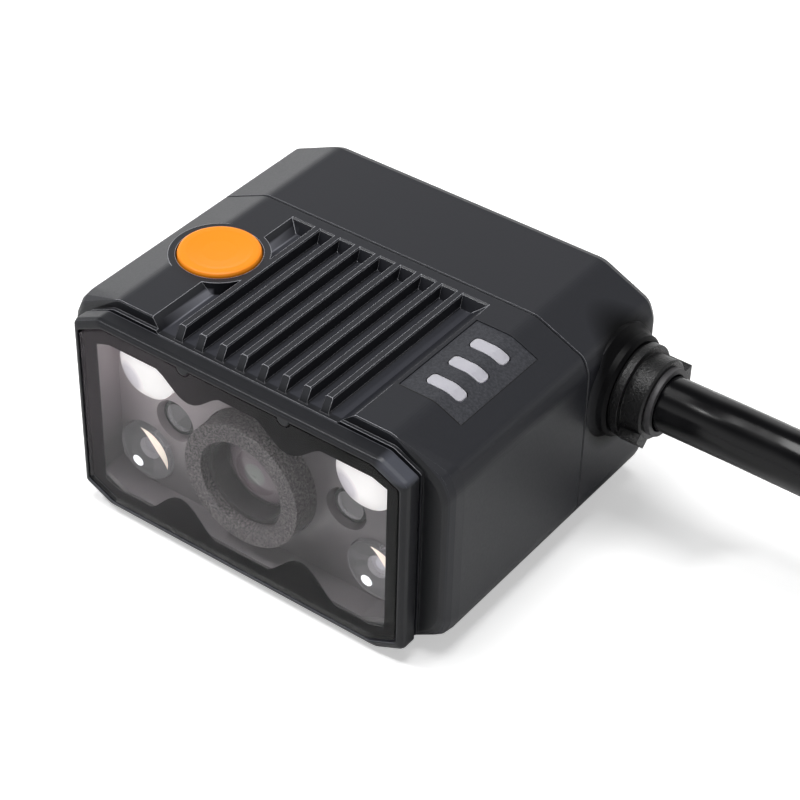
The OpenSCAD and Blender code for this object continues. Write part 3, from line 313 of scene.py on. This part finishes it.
@dataclass(frozen=True)
class Moulding(Finish):
    """An opaque moulded, printed or blasted surface with a fine grain.

    The grain drives a shallow bump, a little of the roughness and a little of the colour. A finish
    may soften its crisp edges, paint a highlight on them, and have regions of another colour, most
    of them painted light and painted shade.
    """

    colour: str
    roughness: float = 0.45
    grain: Grain = Grain.SPARK
    grain_mm: float = 0.22
    grain_deep_mm: float = 0.012
    grain_detail: float = 3.0
    colour_spread: float = 0.12
    rough_spread: float = 0.08
    metallic: float = 0.0
    specular: float = 0.5
    edge_mm: float = 0.0
    edge_highlight_colour: str = ""
    under_skin_mm: float = 0.0
    glow: float = 0.0
    regions: tuple[Region, ...] = ()

    def surface(self, tree: Tree) -> Socket:
        """Adds the grain, the edges, the regions and the shader.

        Args:
            tree: The material's node tree.

        Returns:
            The shader that the surface shows.
        """
        place = add_node(tree, "ShaderNodeTexCoord").outputs["Object"]
        pattern = self.pattern(tree, place)
        colour = self.tinted(tree, pattern)
        rough = (self.roughness - self.rough_spread, self.roughness + self.rough_spread)
        inputs = {"Roughness": remap(tree, pattern, target=rough)}
        relief = {"Height": pattern}
        if self.edge_mm:
            edge = add_node(
                tree, "ShaderNodeBevel", {"samples": EDGE_SAMPLES, "Radius": self.edge_mm * MM}
            )
            relief["Normal"] = edge.outputs["Normal"]
            # Painted highlight on the edges that face the lit side
            if self.edge_highlight_colour:
                colour = self.painted_edge_highlights(tree, colour, edge.outputs["Normal"])
        # Regions lay their colours over it, most of them painted light and painted shade
        for region in self.regions:
            share = region.share(tree, place)
            colour = lay_over(tree, colour, region.colour, share)
            if region.specular is not None:
                inputs["Specular IOR Level"] = add_node(
                    tree, "ShaderNodeMix",
                    {MIX_FLOAT_A: self.specular, MIX_FLOAT_B: region.specular},
                    {MIX_FACTOR: share},
                ).outputs[MIX_FLOAT_OUT]
        bump = add_node(
            tree, "ShaderNodeBump",
            {"Strength": 1.0, "Distance": self.grain_deep_mm * MM}, relief,
        )
        return add_node(
            tree, "ShaderNodeBsdfPrincipled",
            {
                "Metallic": self.metallic,
                "Specular IOR Level": self.specular,
                "Subsurface Weight": 1.0 if self.under_skin_mm else 0.0,
                "Subsurface Radius": (self.under_skin_mm * MM,) * 3,
                "Subsurface Scale": 1.0,
                "Emission Color": linear(self.colour),
                "Emission Strength": self.glow,
            },
            {"Base Color": colour, "Normal": bump.outputs["Normal"], **inputs},
        ).outputs["BSDF"]

    def pattern(self, tree: Tree, place: Socket) -> Socket:
        """Adds the grain.

        Args:
            tree: The material's node tree.
            place: The place on the object.

        Returns:
            The grain's height, from nought to one.
        """
        fine = add_node(
            tree, "ShaderNodeTexNoise",
            {
                "Scale": per_metre(self.grain_mm),
                "Detail": self.grain_detail,
                "Roughness": GRAIN_ROUGHNESS,
            },
            {"Vector": place},
        ).outputs["Fac"]
        return remap(tree, fine, SPECKLE_RANGE) if self.grain is Grain.SPECKLED else fine

    def tinted(self, tree: Tree, pattern: Socket) -> Socket:
        """Spreads the colour a little with the grain.

        Args:
            tree: The material's node tree.
            pattern: The grain's height.

        Returns:
            The colour, darker in the hollows of the grain.
        """
        base = linear(self.colour)[:3]
        low = tuple(c * (1 - self.colour_spread) for c in base) + (1.0,)
        high = tuple(min(1.0, c * (1 + self.colour_spread)) for c in base) + (1.0,)
        return add_node(
            tree, "ShaderNodeMix",
            {"data_type": "RGBA", MIX_COLOUR_A: low, MIX_COLOUR_B: high}, {MIX_FACTOR: pattern},
        ).outputs[MIX_COLOUR_OUT]

    def painted_edge_highlights(self, tree: Tree, colour: Socket, soft: Socket) -> Socket:
        """Paints a highlight where the surface turns sharply and faces the lit side.

        Args:
            tree: The material's node tree.
            colour: The colour away from the edges.
            soft: The normal softened across the edges.

        Returns:
            The colour with its painted edge highlights.
        """
        face = add_node(tree, "ShaderNodeNewGeometry").outputs["Normal"]
        turn = add_node(
            tree, "ShaderNodeVectorMath", {"operation": "DOT_PRODUCT"}, {0: soft, 1: face}
        ).outputs["Value"]
        side = add_node(
            tree, "ShaderNodeVectorMath", {"operation": "DOT_PRODUCT", 1: LIT_SIDE}, {0: soft}
        ).outputs["Value"]
        share = combine(
            tree, "MULTIPLY", remap(tree, turn, EDGE_TURN), remap(tree, side, LIT_RANGE)
        )
        return lay_over(tree, colour, self.edge_highlight_colour, share)


@dataclass(frozen=True)
class Clear(Finish):
    """A clear moulded or polished piece that lets the lamps through."""

    colour: str
    roughness: float
    ior: float
    shade: str = "#f4f4f4"
    # A faint painted glow in the glass's own colour
    painted_glow: float = 0.0

    def surface(self, tree: Tree) -> Socket:
        """Adds the glass, and the tint that it leaves in a shadow.

        Args:
            tree: The material's node tree.

        Returns:
            The shader that the surface shows.
        """
        glass = add_node(
            tree, "ShaderNodeBsdfPrincipled",
            {
                "Base Color": linear(self.colour),
                "Roughness": self.roughness,
                "IOR": self.ior,
                "Transmission Weight": 1.0,
                "Emission Color": linear(self.colour),
                "Emission Strength": self.painted_glow,
            },
        )
        light = add_node(tree, "ShaderNodeBsdfTransparent", {"Color": linear(self.shade)})
        shadow = add_node(tree, "ShaderNodeLightPath").outputs["Is Shadow Ray"]
        return add_node(
            tree, "ShaderNodeMixShader",
            links={0: shadow, 1: glass.outputs["BSDF"], 2: light.outputs["BSDF"]},
        ).outputs["Shader"]


@dataclass(frozen=True)
class Graded(Finish):
    """A finish whose colour runs outwards from the nearest of its axes, which lie along Y."""

    axes_mm: Sequence[Pair]
    reach_mm: float
    tints: Sequence[tuple[float, str]]
    roughness: float = 0.06
    coat: float = 0.0
    glow: float = 0.0
    grain_mm: float = 0.6
    rough_spread: float = 0.02

    def surface(self, tree: Tree) -> Socket:
        """Adds the run of colours and the shader.

        Args:
            tree: The material's node tree.

        Returns:
            The shader that the surface shows.
        """
        place = add_node(tree, "ShaderNodeTexCoord").outputs["Object"]
        nearest, *others = [self.away(tree, place, axis) for axis in self.axes_mm]
        for other in others:
            nearest = combine(tree, "MINIMUM", nearest, other)
        ramp = add_node(tree, "ShaderNodeValToRGB", links={"Fac": nearest})
        stops = ramp.color_ramp.elements
        while len(stops) < len(self.tints):
            stops.new(1.0)
        for stop, (share, tint) in zip(stops, self.tints):
            stop.position = share
            stop.color = linear(tint)
        fine = add_node(
            tree, "ShaderNodeTexNoise", {"Scale": per_metre(self.grain_mm)}, {"Vector": place}
        ).outputs["Fac"]
        rough = (self.roughness - self.rough_spread, self.roughness + self.rough_spread)
        return add_node(
            tree, "ShaderNodeBsdfPrincipled",
            {"Coat Weight": self.coat, "Emission Strength": self.glow},
            {
                "Base Color": ramp.outputs["Color"],
                "Emission Color": ramp.outputs["Color"],
                "Roughness": remap(tree, fine, target=rough),
            },
        ).outputs["BSDF"]

    def away(self, tree: Tree, place: Socket, axis: Pair) -> Socket:
        """Measures from one axis.

        Args:
            tree: The material's node tree.
            place: The place on the object.
            axis: Where the axis lies, across and up.

        Returns:
            The distance, as a share of the reach.
        """
        size = per_metre(self.reach_mm)
        centred = add_node(
            tree, "ShaderNodeMapping",
            {
                "Location": (-axis[0] / self.reach_mm, 0.0, -axis[1] / self.reach_mm),
                "Scale": (size, 0.0, size),
            },
            {"Vector": place},
        )
        return add_node(
            tree, "ShaderNodeVectorMath", {"operation": "LENGTH"}, {0: centred.outputs["Vector"]}
        ).outputs["Value"]


@dataclass(frozen=True)
class Paper(Finish):
    """Matt paper that the camera sees a little brighter than it is lit."""

    colour: str
    lift: float

    def surface(self, tree: Tree) -> Socket:
        """Adds the matt shader and its lift.

        Args:
            tree: The material's node tree.

        Returns:
            The shader that the surface shows.
        """
        matt = add_node(tree, "ShaderNodeBsdfDiffuse", {"Color": linear(self.colour)})
        seen = add_node(tree, "ShaderNodeLightPath").outputs["Is Camera Ray"]
        lift = add_node(
            tree, "ShaderNodeMath", {"operation": "MULTIPLY", 1: self.lift}, {0: seen}
        )
        glow = add_node(tree, "ShaderNodeEmission", links={"Strength": lift.outputs[0]})
        return add_node(
            tree, "ShaderNodeAddShader", links={0: matt.outputs[0], 1: glow.outputs[0]}
        ).outputs[0]


NYLON_BLACK = "#232429"
# A near black for painted shadow lines
SHADOW_LINE_BLACK = "#08080a"
# The two clear lenses, across and up
LENS_AXES_MM = ((-16.0, 7.8), (16.0, 7.8))

# On the front shell: painted light on the floor of the finned pocket, and a painted highlight at
# the foot of the channel's slope
POCKET_FLOOR_LIGHT = Region("#34353b", (-13.4, -18.4, 26.2), (13.4, 5.6, 26.45))
SLOPE_FOOT_HIGHLIGHT = Region("#a3a4ad", (-13.35, -17.2, 26.1), (-12.25, 5.4, 27.3), soft=0.8)
# No painted edge highlight round the label, but a thin painted shadow line along its front and its
# right
LABEL_SURROUND = Region(NYLON_BLACK, (13.4, -12.0, 10.0), (23.0, 3.2, 30.0))
LABEL_FRONT_SHADOW = Region(SHADOW_LINE_BLACK, (13.9, -11.52, 10.0), (22.0, -11.22, 30.0), soft=0.1)
LABEL_RIGHT_SHADOW = Region(SHADOW_LINE_BLACK, (21.72, -11.4, 10.0), (21.94, 2.6, 30.0))
# No painted edge highlight on this side of the seam either, so that the seam shows one painted
# light line, and painted shade at the nose
SEAM_SIDE = Region(NYLON_BLACK, (-27.0, 6.3, -2.0), (27.0, 8.0, 30.0))
NOSE_SHADE = Region("#191a1d", (-27.0, -18.7, -2.0), (27.0, -17.9, 27.6), soft=0.1)
# On the rear shell: dull black rubber on the round boss that the cable leaves by, which fades out
# as painted shade on the wall round it
CABLE_BOSS_RUBBER_AND_SHADE = Region(
    "#040405", (18.0, 6.7, 9.4), (40.0, 21.3, 27.0), round=True, soft=0.2, specular=0.08
)
# On the bezel: a painted highlight on its upper right corner, and painted shade on its back edge
BEZEL_CORNER_HIGHLIGHT = Region("#4c4e56", (18.4, -22.0, 24.8), (23.8, -18.0, 27.9), soft=0.4)
BEZEL_BACK_SHADE = Region("#121316", (-27.0, -19.2, -2.0), (27.0, -17.6, 30.0), soft=0.3)

# Glass-filled nylon, moulded in a spark-eroded tool: near black, soft wide highlights, a very fine
# grain. Its upper edges carry a painted highlight
HOUSING_NYLON = Moulding(
    "black_glass_filled_nylon", NYLON_BLACK, roughness=0.42, grain_mm=0.25, grain_deep_mm=0.008,
    specular=0.34, edge_mm=0.1, edge_highlight_colour="#d6d7de",
    regions=(
        POCKET_FLOOR_LIGHT, SLOPE_FOOT_HIGHLIGHT, LABEL_SURROUND, LABEL_FRONT_SHADOW, LABEL_RIGHT_SHADOW, SEAM_SIDE, NOSE_SHADE,
    ),
)
# The same nylon on the rear shell, with a painted highlight on its upper edges, dull black rubber
# over the cable's boss, and painted shade round the boss
COVER_NYLON = Moulding(
    "black_nylon_with_rubber_boss_and_painted_shade", NYLON_BLACK, roughness=0.42, grain_mm=0.25,
    grain_deep_mm=0.008, specular=0.34, edge_mm=0.08, edge_highlight_colour="#a6a7ad", regions=(CABLE_BOSS_RUBBER_AND_SHADE,),
)
# The same nylon from a smoother tool: tighter highlights along the rim, partly a painted highlight
BEZEL_NYLON = Moulding(
    "satin_black_nylon", "#191a1e", roughness=0.36, grain_mm=0.3, grain_deep_mm=0.003,
    specular=0.28, edge_mm=0.22, edge_highlight_colour="#686970", regions=(BEZEL_CORNER_HIGHLIGHT, BEZEL_BACK_SHADE),
)
# Nylon collar from a coarse tool: its grain shows as a fine sparkle
COLLAR_NYLON = Moulding(
    "coarse_black_nylon", "#060607", roughness=0.3, grain_mm=0.26, grain_deep_mm=0.1,
    specular=0.34, edge_mm=0.12,
)
# Screen print on the window's back: near black, with a painted glow that is lightest towards its
# upper left end and fades away from it
WINDOW_PRINT_AND_GLOW = Graded(
    "dark_screen_print_with_painted_glow", ((-26.0, 30.0),), 60.0,
    ((0.0, "#332f32"), (0.3, "#2e2a2d"), (0.5, "#181718"), (0.65, "#0a0a0a"), (1.0, "#0c0c0c")),
    roughness=0.6, glow=1.0,
)
# Smoky polycarbonate optics tray: warm grey and softly glossy, with painted light at its upper left
# corner and painted shade further from it
OPTIC_GREY_PAINTED_LIGHT = Graded(
    "grey_polycarbonate", ((-14.0, 32.0),), 46.0,
    ((0.0, "#b3a9ad"), (0.34, "#a0969a"), (0.54, "#555053"), (0.72, "#5f5a5d"), (1.0, "#474446")),
    roughness=0.3,
)
# White diffusing acrylic with a painted glow, as if lit from behind: near white, greyer round each
# axis
DIFFUSER_PAINTED_GLOW = Graded(
    "white_diffusing_acrylic", ((-16.2, 19.3), (13.2, 19.2)), 5.0,
    ((0.0, "#bdb9c0"), (0.26, "#c4c0c6"), (0.42, "#eeebeb"), (1.0, "#faf8f7")),
    roughness=0.2, glow=0.42,
)
# Blasted, anodised aluminium hood: grey with a fine pepper of lighter grains
HOOD_METAL = Moulding(
    "blasted_anodised_aluminium", "#5b5557", roughness=0.55, grain=Grain.SPECKLED, grain_mm=0.24,
    grain_deep_mm=0.03, colour_spread=0.8, metallic=0.2, edge_mm=0.2,
)
# Black anodised lens barrel: dark, with a dull metal sheen
BARREL_METAL = Moulding(
    "black_anodised_aluminium", "#332f32", roughness=0.5, grain_mm=0.3, metallic=0.3
)
# Polypropylene button: clean orange with a satin skin, and a faint painted glow over it
BUTTON_ORANGE = Moulding(
    "orange_polypropylene", "#f58d16", roughness=0.42, grain_mm=0.3, grain_deep_mm=0.004,
    colour_spread=0.03, specular=0.3, edge_mm=0.2, glow=0.1,
)
# Grained polycarbonate film: dark with a coarse sparkle
LABEL_FILM = Moulding(
    "grained_dark_film", "#3a3b40", roughness=0.5, grain=Grain.SPECKLED, grain_mm=0.28,
    grain_deep_mm=0.02, colour_spread=0.22, specular=0.25,
)
# Frosted light pipes: pale and softly lit from within
PIPE_FROST = Moulding(
    "frosted_polycarbonate", "#bdbcc3", roughness=0.4, grain_mm=0.4, colour_spread=0.05,
    under_skin_mm=0.4, edge_mm=0.15,
)
# Polyamide ring on the collar: a plain mid grey, a step lighter than what it holds
RING_GREY = Moulding("grey_polyamide", "#3a393b", roughness=0.5, grain_mm=0.3, edge_mm=0.1)
# Rubber seals: dull and even, black, and green on the plug
SEAL_RUBBER = Moulding("black_rubber", "#0a0a0b", roughness=0.75, grain_mm=0.4, specular=0.2)
GREEN_RUBBER = Moulding("green_rubber", "#2f6640", roughness=0.7, grain_mm=0.4)
# PVC jacket: glossy black, a slightly wavy surface that breaks its long highlight
JACKET_PVC = Moulding(
    "glossy_black_pvc", "#060608", roughness=0.17, grain_mm=5.5, grain_deep_mm=0.3,
    grain_detail=0.0, rough_spread=0.03, specular=0.3,
)
# Plated steel and brass: bare metal, satin on the steel and brighter on the turned brass
PLAIN_STEEL = Moulding(
    "zinc_plated_steel", "#a2a5a9", roughness=0.42, grain_mm=0.3, metallic=1.0
)
TURNED_BRASS = Moulding("turned_brass", "#c79f48", roughness=0.3, grain_mm=0.3, metallic=1.0)
# ABS of the small mouldings: an even, satin black
BLACK_ABS = Moulding("plain_black_abs", "#17181a", roughness=0.5)
# Solder mask: smooth and a little glossy, green as usual
BOARD_GREEN = Moulding("green_solder_mask", "#1d5636", roughness=0.35, grain_mm=0.8)
# The lighting board's mask is grey, so it does not tint the light that passes the clear lenses
BOARD_GREY = Moulding("grey_solder_mask", "#5d5c60", roughness=0.35, grain_mm=0.8)
# Lamps: a white phosphor dot painted bright as if lit, on a grey package
LAMP_PHOSPHOR = Graded(
    "phosphor_lamp", LENS_AXES_MM, 1.2,
    ((0.0, "#c3c6cc"), (0.46, "#b5b8bf"), (0.56, "#77767a"), (1.0, "#6c6b6e")), roughness=0.3,
)
# Cover glass of the sensor: a dark blue mirror
SENSOR_COVER = Moulding(
    "sensor_cover_glass", "#20263a", roughness=0.1, grain_mm=0.6, grain_deep_mm=0.001
)
# Uncoloured nylon of the socket and plunger: a milky, waxy cream
SOCKET_NYLON = Moulding("natural_nylon", "#e2dfd4", roughness=0.5)
# Wire insulation: a soft red skin
WIRE_PVC = Moulding("coloured_wire_pvc", "#a8473c", roughness=0.45)
# Acrylic window with a low-glare coating, which takes most of its reflection away
WINDOW_ACRYLIC = Clear("coated_clear_acrylic", "#fbfbfb", roughness=0.0, ior=1.22)
# Moulded polycarbonate lenses: clear, with a faint painted glow; their bright spots are painted
# glints
LENS_CLEAR = Clear(
    "clear_moulded_polycarbonate", "#f1eef2", roughness=0.02, ior=1.28, painted_glow=0.06
)
# Coated camera glass, with a painted reflection: a pale middle falling through pink to a near black
# rim
LENS_COATED = Graded(
    "coated_optical_glass", ((0.0, 12.9),), 5.0,
    (
        (0.0, "#717571"), (0.26, "#6d6b6c"), (0.3, "#675c62"), (0.55, "#5f5459"),
        (0.58, "#756a70"), (1.0, "#39343a"),
    ),
    coat=0.4,
)
# A painted glint on each clear lens where its lamp sits: a small, even, glowing white
LAMP_GLINT_WHITE = Moulding(
    "painted_lamp_glint", "#fafcff", roughness=0.3, grain_mm=0.8, colour_spread=0.03, glow=0.5
)
# A painted crescent highlight on each clear lens: a warm, glowing white
CRESCENT_HIGHLIGHT_CREAM = Moulding(
    "painted_crescent_highlight", "#fbeee0", roughness=0.3, grain_mm=0.8, colour_spread=0.03, glow=0.25
)
# Studio paper: plain white, with only a soft shadow on it
STUDIO_PAPER = Paper("white_studio_paper", "#f2f2f2", lift=0.46)

FINISHES: dict[str, Finish] = {
    "front_housing": HOUSING_NYLON, "rear_cover": COVER_NYLON, "front_bezel": BEZEL_NYLON,
    "front_window": WINDOW_ACRYLIC, "window_mask": WINDOW_PRINT_AND_GLOW, "window_seal": SEAL_RUBBER,
    "bezel_seal": SEAL_RUBBER, "housing_seal": SEAL_RUBBER, "gland_gasket": SEAL_RUBBER,
    "cover_screws": PLAIN_STEEL, "mounting_inserts": TURNED_BRASS, "optics_plate": OPTIC_GREY_PAINTED_LIGHT,
    "diffuser_domes": DIFFUSER_PAINTED_GLOW, "illumination_lenses": LENS_CLEAR,
    "aimer_modules": BLACK_ABS, "aimer_lenses": LENS_CLEAR, "lens_hood": HOOD_METAL,
    "lens_barrel": BARREL_METAL, "lens_glass": LENS_COATED, "lens_rear_glass": LENS_CLEAR,
    "lens_mount": BARREL_METAL, "lens_mount_screws": PLAIN_STEEL, "image_sensor": SENSOR_COVER,
    "led_board": BOARD_GREY, "illumination_leds": LAMP_PHOSPHOR, "led_board_screws": PLAIN_STEEL,
    "sensor_board": BOARD_GREEN, "main_board": BOARD_GREEN, "front_spacers": PLAIN_STEEL,
    "rear_spacers": PLAIN_STEEL, "stack_screws": PLAIN_STEEL, "processor_chips": BLACK_ABS,
    "cable_socket": SOCKET_NYLON, "cable_wires": WIRE_PVC, "top_board": BOARD_GREEN,
    "top_board_screws": PLAIN_STEEL, "button_switch": BLACK_ABS, "switch_plunger": SOCKET_NYLON,
    "trigger_button": BUTTON_ORANGE, "status_leds": LAMP_PHOSPHOR,
    "status_light_pipes": PIPE_FROST, "indicator_label": LABEL_FILM, "gland_body": COLLAR_NYLON,
    "gland_ring": RING_GREY, "gland_nut": PLAIN_STEEL, "cable": JACKET_PVC,
    "connector_grip": BLACK_ABS, "connector_shell": PLAIN_STEEL, "connector_oring": GREEN_RUBBER,
    "connector_insert": BLACK_ABS, "connector_pins": TURNED_BRASS,
}


@dataclass
class PhotoCamera:
    """The camera at the photograph's viewing angle."""

    azimuth_deg: float = 35.68
    elevation_deg: float = 38.76
    roll_deg: float = 1.48
    place_mm: Point = (125.9, -167.02, 179.79)
    lens_mm: float = 107.15
    sensor_mm: float = 36.0
    nearest_mm: float = 10.0

    def build(self) -> bpy.types.Object:
        """Places the camera and makes it the scene's own.

        Returns:
            The camera object.
        """
        angles = (self.azimuth_deg, self.elevation_deg, self.roll_deg)
        az, el, roll = (math.radians(a) for a in angles)
        back = Vector((math.sin(az) * math.cos(el), -math.cos(az) * math.cos(el), math.sin(el)))
        right = Vector((math.cos(az), math.sin(az), 0.0))
        up = back.cross(right)
        turned_right = right * math.cos(roll) + up * math.sin(roll)
        turned_up = up * math.cos(roll) - right * math.sin(roll)
        data = bpy.data.cameras.new("photo_camera")
        data.lens = self.lens_mm
        data.sensor_width = self.sensor_mm
        data.clip_start = self.nearest_mm * MM
        camera = add_object("photo_camera", data)
        turn = Matrix((turned_right, turned_up, back)).transposed().to_4x4()
        camera.matrix_world = Matrix.Translation(Vector(self.place_mm) * MM) @ turn
        bpy.context.scene.camera = camera
        return camera


@dataclass
class Lamp:
    """One soft box: where it hangs, what it looks at and its size, in metres, and its power."""

    name: str
    place: Point
    aim: Point
    size: float
    watts: float


@dataclass
class Studio:
    """White floor, white surroundings that darken overhead, and soft boxes."""

    floor_half: float = 3.0
    fill: float = 0.2
    horizon: float = 1.0
    zenith: float = 0.12
    dusk: Pair = (0.3, 0.78)
    lamps: Sequence[Lamp] = field(
        default_factory=lambda: (
            Lamp("top_box", (0.0, -0.05, 1.0), (0.0, 0.0, 0.0), 0.5, 7.2),
            Lamp("front_box", (-0.46, -0.3, 0.84), (0.02, 0.0, 0.02), 0.12, 3.4),
            Lamp("side_box", (-0.77, 0.63, 0.1), (0.0, 0.0, 0.02), 0.4, 0.6),
        )
    )

    def build_floor(self) -> bpy.types.Object:
        """Makes the floor.

        Returns:
            The floor object.
        """
        bm = bmesh.new()
        bmesh.ops.create_grid(bm, x_segments=1, y_segments=1, size=self.floor_half)
        floor = add_mesh("studio_floor", bm)
        floor.data.materials.append(STUDIO_PAPER.material())
        return floor

    def build_surround(self) -> None:
        """Lights the scene evenly, and shows white to the camera and through glass.

        Gloss sees the white surroundings too, falling away to a dark studio ceiling.
        """
        world = bpy.data.worlds.new("white_surround")
        bpy.context.scene.world = world
        world.use_nodes = True
        tree = world.node_tree
        tree.nodes.clear()
        path = add_node(tree, "ShaderNodeLightPath").outputs
        way = add_node(tree, "ShaderNodeTexCoord").outputs["Generated"]
        rise = add_node(tree, "ShaderNodeSeparateXYZ", links={"Vector": way}).outputs["Z"]
        ceiling = remap(tree, rise, self.dusk, (self.horizon, self.zenith), "SMOOTHSTEP")
        gloss = add_node(
            tree, "ShaderNodeMix", {"data_type": "FLOAT", MIX_FLOAT_A: self.fill},
            {MIX_FACTOR: path["Is Glossy Ray"], MIX_FLOAT_B: ceiling},
        ).outputs[MIX_FLOAT_OUT]
        seen = combine(tree, "MAXIMUM", path["Is Camera Ray"], path["Is Transmission Ray"])
        level = add_node(
            tree, "ShaderNodeMix", {"data_type": "FLOAT", MIX_FLOAT_B: self.horizon},
            {MIX_FACTOR: seen, MIX_FLOAT_A: gloss},
        ).outputs[MIX_FLOAT_OUT]
        light = add_node(
            tree, "ShaderNodeBackground", {"Color": linear("#ffffff")}, {"Strength": level}
        )
        add_node(tree, "ShaderNodeOutputWorld", links={"Surface": light.outputs[0]})

    def build_lamps(self) -> None:
        """Hangs the soft boxes."""
        for lamp in self.lamps:
            data = bpy.data.lights.new(lamp.name, "AREA")
            data.shape = "SQUARE"
            data.size = lamp.size
            data.energy = lamp.watts
            place = Vector(lamp.place)
            look = (Vector(lamp.aim) - place).to_track_quat("-Z", "Y")
            box = add_object(lamp.name, data)
            box.matrix_world = Matrix.Translation(place) @ look.to_matrix().to_4x4()

    def build(self) -> None:
        """Builds floor, surround and lamps."""
        self.build_floor()
        self.build_surround()
        self.build_lamps()


@dataclass
class CablePigtail:
    """The free cable from its collar to the round plug."""

    radius_mm: float = 3.25
    route_mm: Sequence[Point] = (
        (20, 14, 18.2), (32, 14, 18.2), (44, 14, 18.2), (56, 14.5, 17.455), (66, 16, 15.22),
        (75, 20, 11.942), (83, 26, 8.515), (89, 34, 5.535), (93, 43, 3.747), (94, 53, 3.3),
        (93, 63, 3.4185), (89, 72, 4.09), (83, 80, 5.4725), (75, 86, 6.776), (66.4, 91, 7.25),
    )
    plug_nodes: Sequence[str] = (
        "connector_grip", "connector_shell", "connector_oring", "connector_insert",
        "connector_pins",
    )
    round_steps: int = 8
    knot_steps: int = 10

    def build(self) -> bpy.types.Object:
        """Lays the cable along its route.

        Returns:
            The cable, which rides on the reader in place of the hidden CAD cable.
        """
        curve = bpy.data.curves.new("cable_jacket", "CURVE")
        curve.dimensions = "3D"
        curve.bevel_depth = self.radius_mm * MM
        curve.bevel_resolution = self.round_steps
        curve.resolution_u = self.knot_steps
        curve.use_fill_caps = True
        spline = curve.splines.new("BEZIER")
        spline.bezier_points.add(len(self.route_mm) - 1)
        for knot, place in zip(spline.bezier_points, self.route_mm):
            knot.co = Vector(place) * MM
            knot.handle_left_type = knot.handle_right_type = "AUTO"
        cable = add_object("cable_jacket", curve)
        curve.materials.append(JACKET_PVC.material())
        bpy.context.view_layer.update()
        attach(cable, BODY)
        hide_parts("cable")
        return cable


@dataclass
class PaintedLensGlints:
    """Painted highlights on each clear lens: a glowing crescent, and a glowing spot for the lamp.
    """

    base_y_mm: float = -15.4
    ball_mm: float = 5.33
    sunk_mm: float = 1.83
    proud_mm: float = 0.03
    thick_mm: float = 0.04
    outer_mm: float = 3.4
    widest_mm: float = 0.62
    tip_mm: float = 0.02
    arc_deg: Pair = (-14.0, 96.0)
    steps: int = 24
    glint_radius_mm: float = 0.72
    glint_drop_mm: float = 0.45
    glint_steps: int = 32

    def on_dome(self, centre: Pair, turn: float, radius: float) -> Vector:
        """Gives the point just off the dome.

        Args:
            centre: The lens's axis, across and up.
            turn: The way round the axis, in radians from +X.
            radius: The distance from the axis.

        Returns:
            The point in metres.
        """
        rise = math.sqrt(self.ball_mm**2 - radius**2) - self.sunk_mm + self.proud_mm
        across, up = radius * math.cos(turn), radius * math.sin(turn)
        return Vector((centre[0] + across, self.base_y_mm - rise, centre[1] + up)) * MM

    def on_lamp_glint(self, centre: Pair, turn: float) -> Vector:
        """Gives a point on the edge of the painted lamp glint, which sits a little below the axis.

        Args:
            centre: The lens's axis, across and up.
            turn: The way round the glint, in radians from +X.

        Returns:
            The point in metres.
        """
        across = self.glint_radius_mm * math.cos(turn)
        up = self.glint_radius_mm * math.sin(turn) - self.glint_drop_mm
        return self.on_dome(centre, math.atan2(up, across), math.hypot(across, up))

    def add_crescent(self, bm: bmesh.types.BMesh, centre: Pair) -> None:
        """Adds one painted crescent highlight, widest at its middle.

        Args:
            bm: The mesh to add to.
            centre: The lens's axis, across and up.
        """
        first, last = (math.radians(a) for a in self.arc_deg)
        rows = []
        for i in range(self.steps + 1):
            share = i / self.steps
            turn = first + (last - first) * share
            inner = self.outer_mm - self.tip_mm - self.widest_mm * math.sin(math.pi * share)
            rows.append(
                [bm.verts.new(self.on_dome(centre, turn, r)) for r in (self.outer_mm, inner)]
            )
        for (a, b), (c, d) in zip(rows, rows[1:]):
            bm.faces.new((a, b, d, c))

    def add_lamp_glint(self, bm: bmesh.types.BMesh, centre: Pair) -> None:
        """Adds one painted lamp glint, in the second material.

        Args:
            bm: The mesh to add to.
            centre: The lens's axis, across and up.
        """
        turns = [math.tau * i / self.glint_steps for i in range(self.glint_steps)]
        lamp = bm.faces.new([bm.verts.new(self.on_lamp_glint(centre, turn)) for turn in turns])
        lamp.material_index = 1

    def build(self) -> bpy.types.Object:
        """Builds both painted crescent highlights and both painted lamp glints as one thin piece.

        Returns:
            The piece, which rides on the reader.
        """
        bm = bmesh.new()
        for centre in LENS_AXES_MM:
            self.add_crescent(bm, centre)
            self.add_lamp_glint(bm, centre)
        glint_piece = add_mesh("painted_lens_glints", bm)
        # Painted highlights: the glowing crescents, then the glowing lamp glints
        for finish in (CRESCENT_HIGHLIGHT_CREAM, LAMP_GLINT_WHITE):
            glint_piece.data.materials.append(finish.material())
        skin = glint_piece.modifiers.new("skin", "SOLIDIFY")
        skin.thickness = self.thick_mm * MM
        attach(glint_piece, BODY)
        return glint_piece


@dataclass
class Dressing:
    """Gives every solid its finish."""

    finishes: Mapping[str, Finish]

    def apply(self) -> None:
        """Puts each finish on its solid."""
        for node, finish in self.finishes.items():
            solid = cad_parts[node]
            solid.data.materials.clear()
            solid.data.materials.append(finish.material())


def set_view() -> None:
    """Sets the plain view transform."""
    bpy.context.scene.view_settings.view_transform = "Standard"


def main() -> None:
    """Builds the scene in order and reports each piece."""
    logging.basicConfig(level=logging.INFO, format="%(name)s: %(message)s")
    set_view()
    PhotoCamera().build()
    LOG.info("cable %s", CablePigtail().build().name)
    Dressing(FINISHES).apply()
    LOG.info("added %s", PaintedLensGlints().build().name)
    Studio().build()


if __name__ == "__main__":
    main()
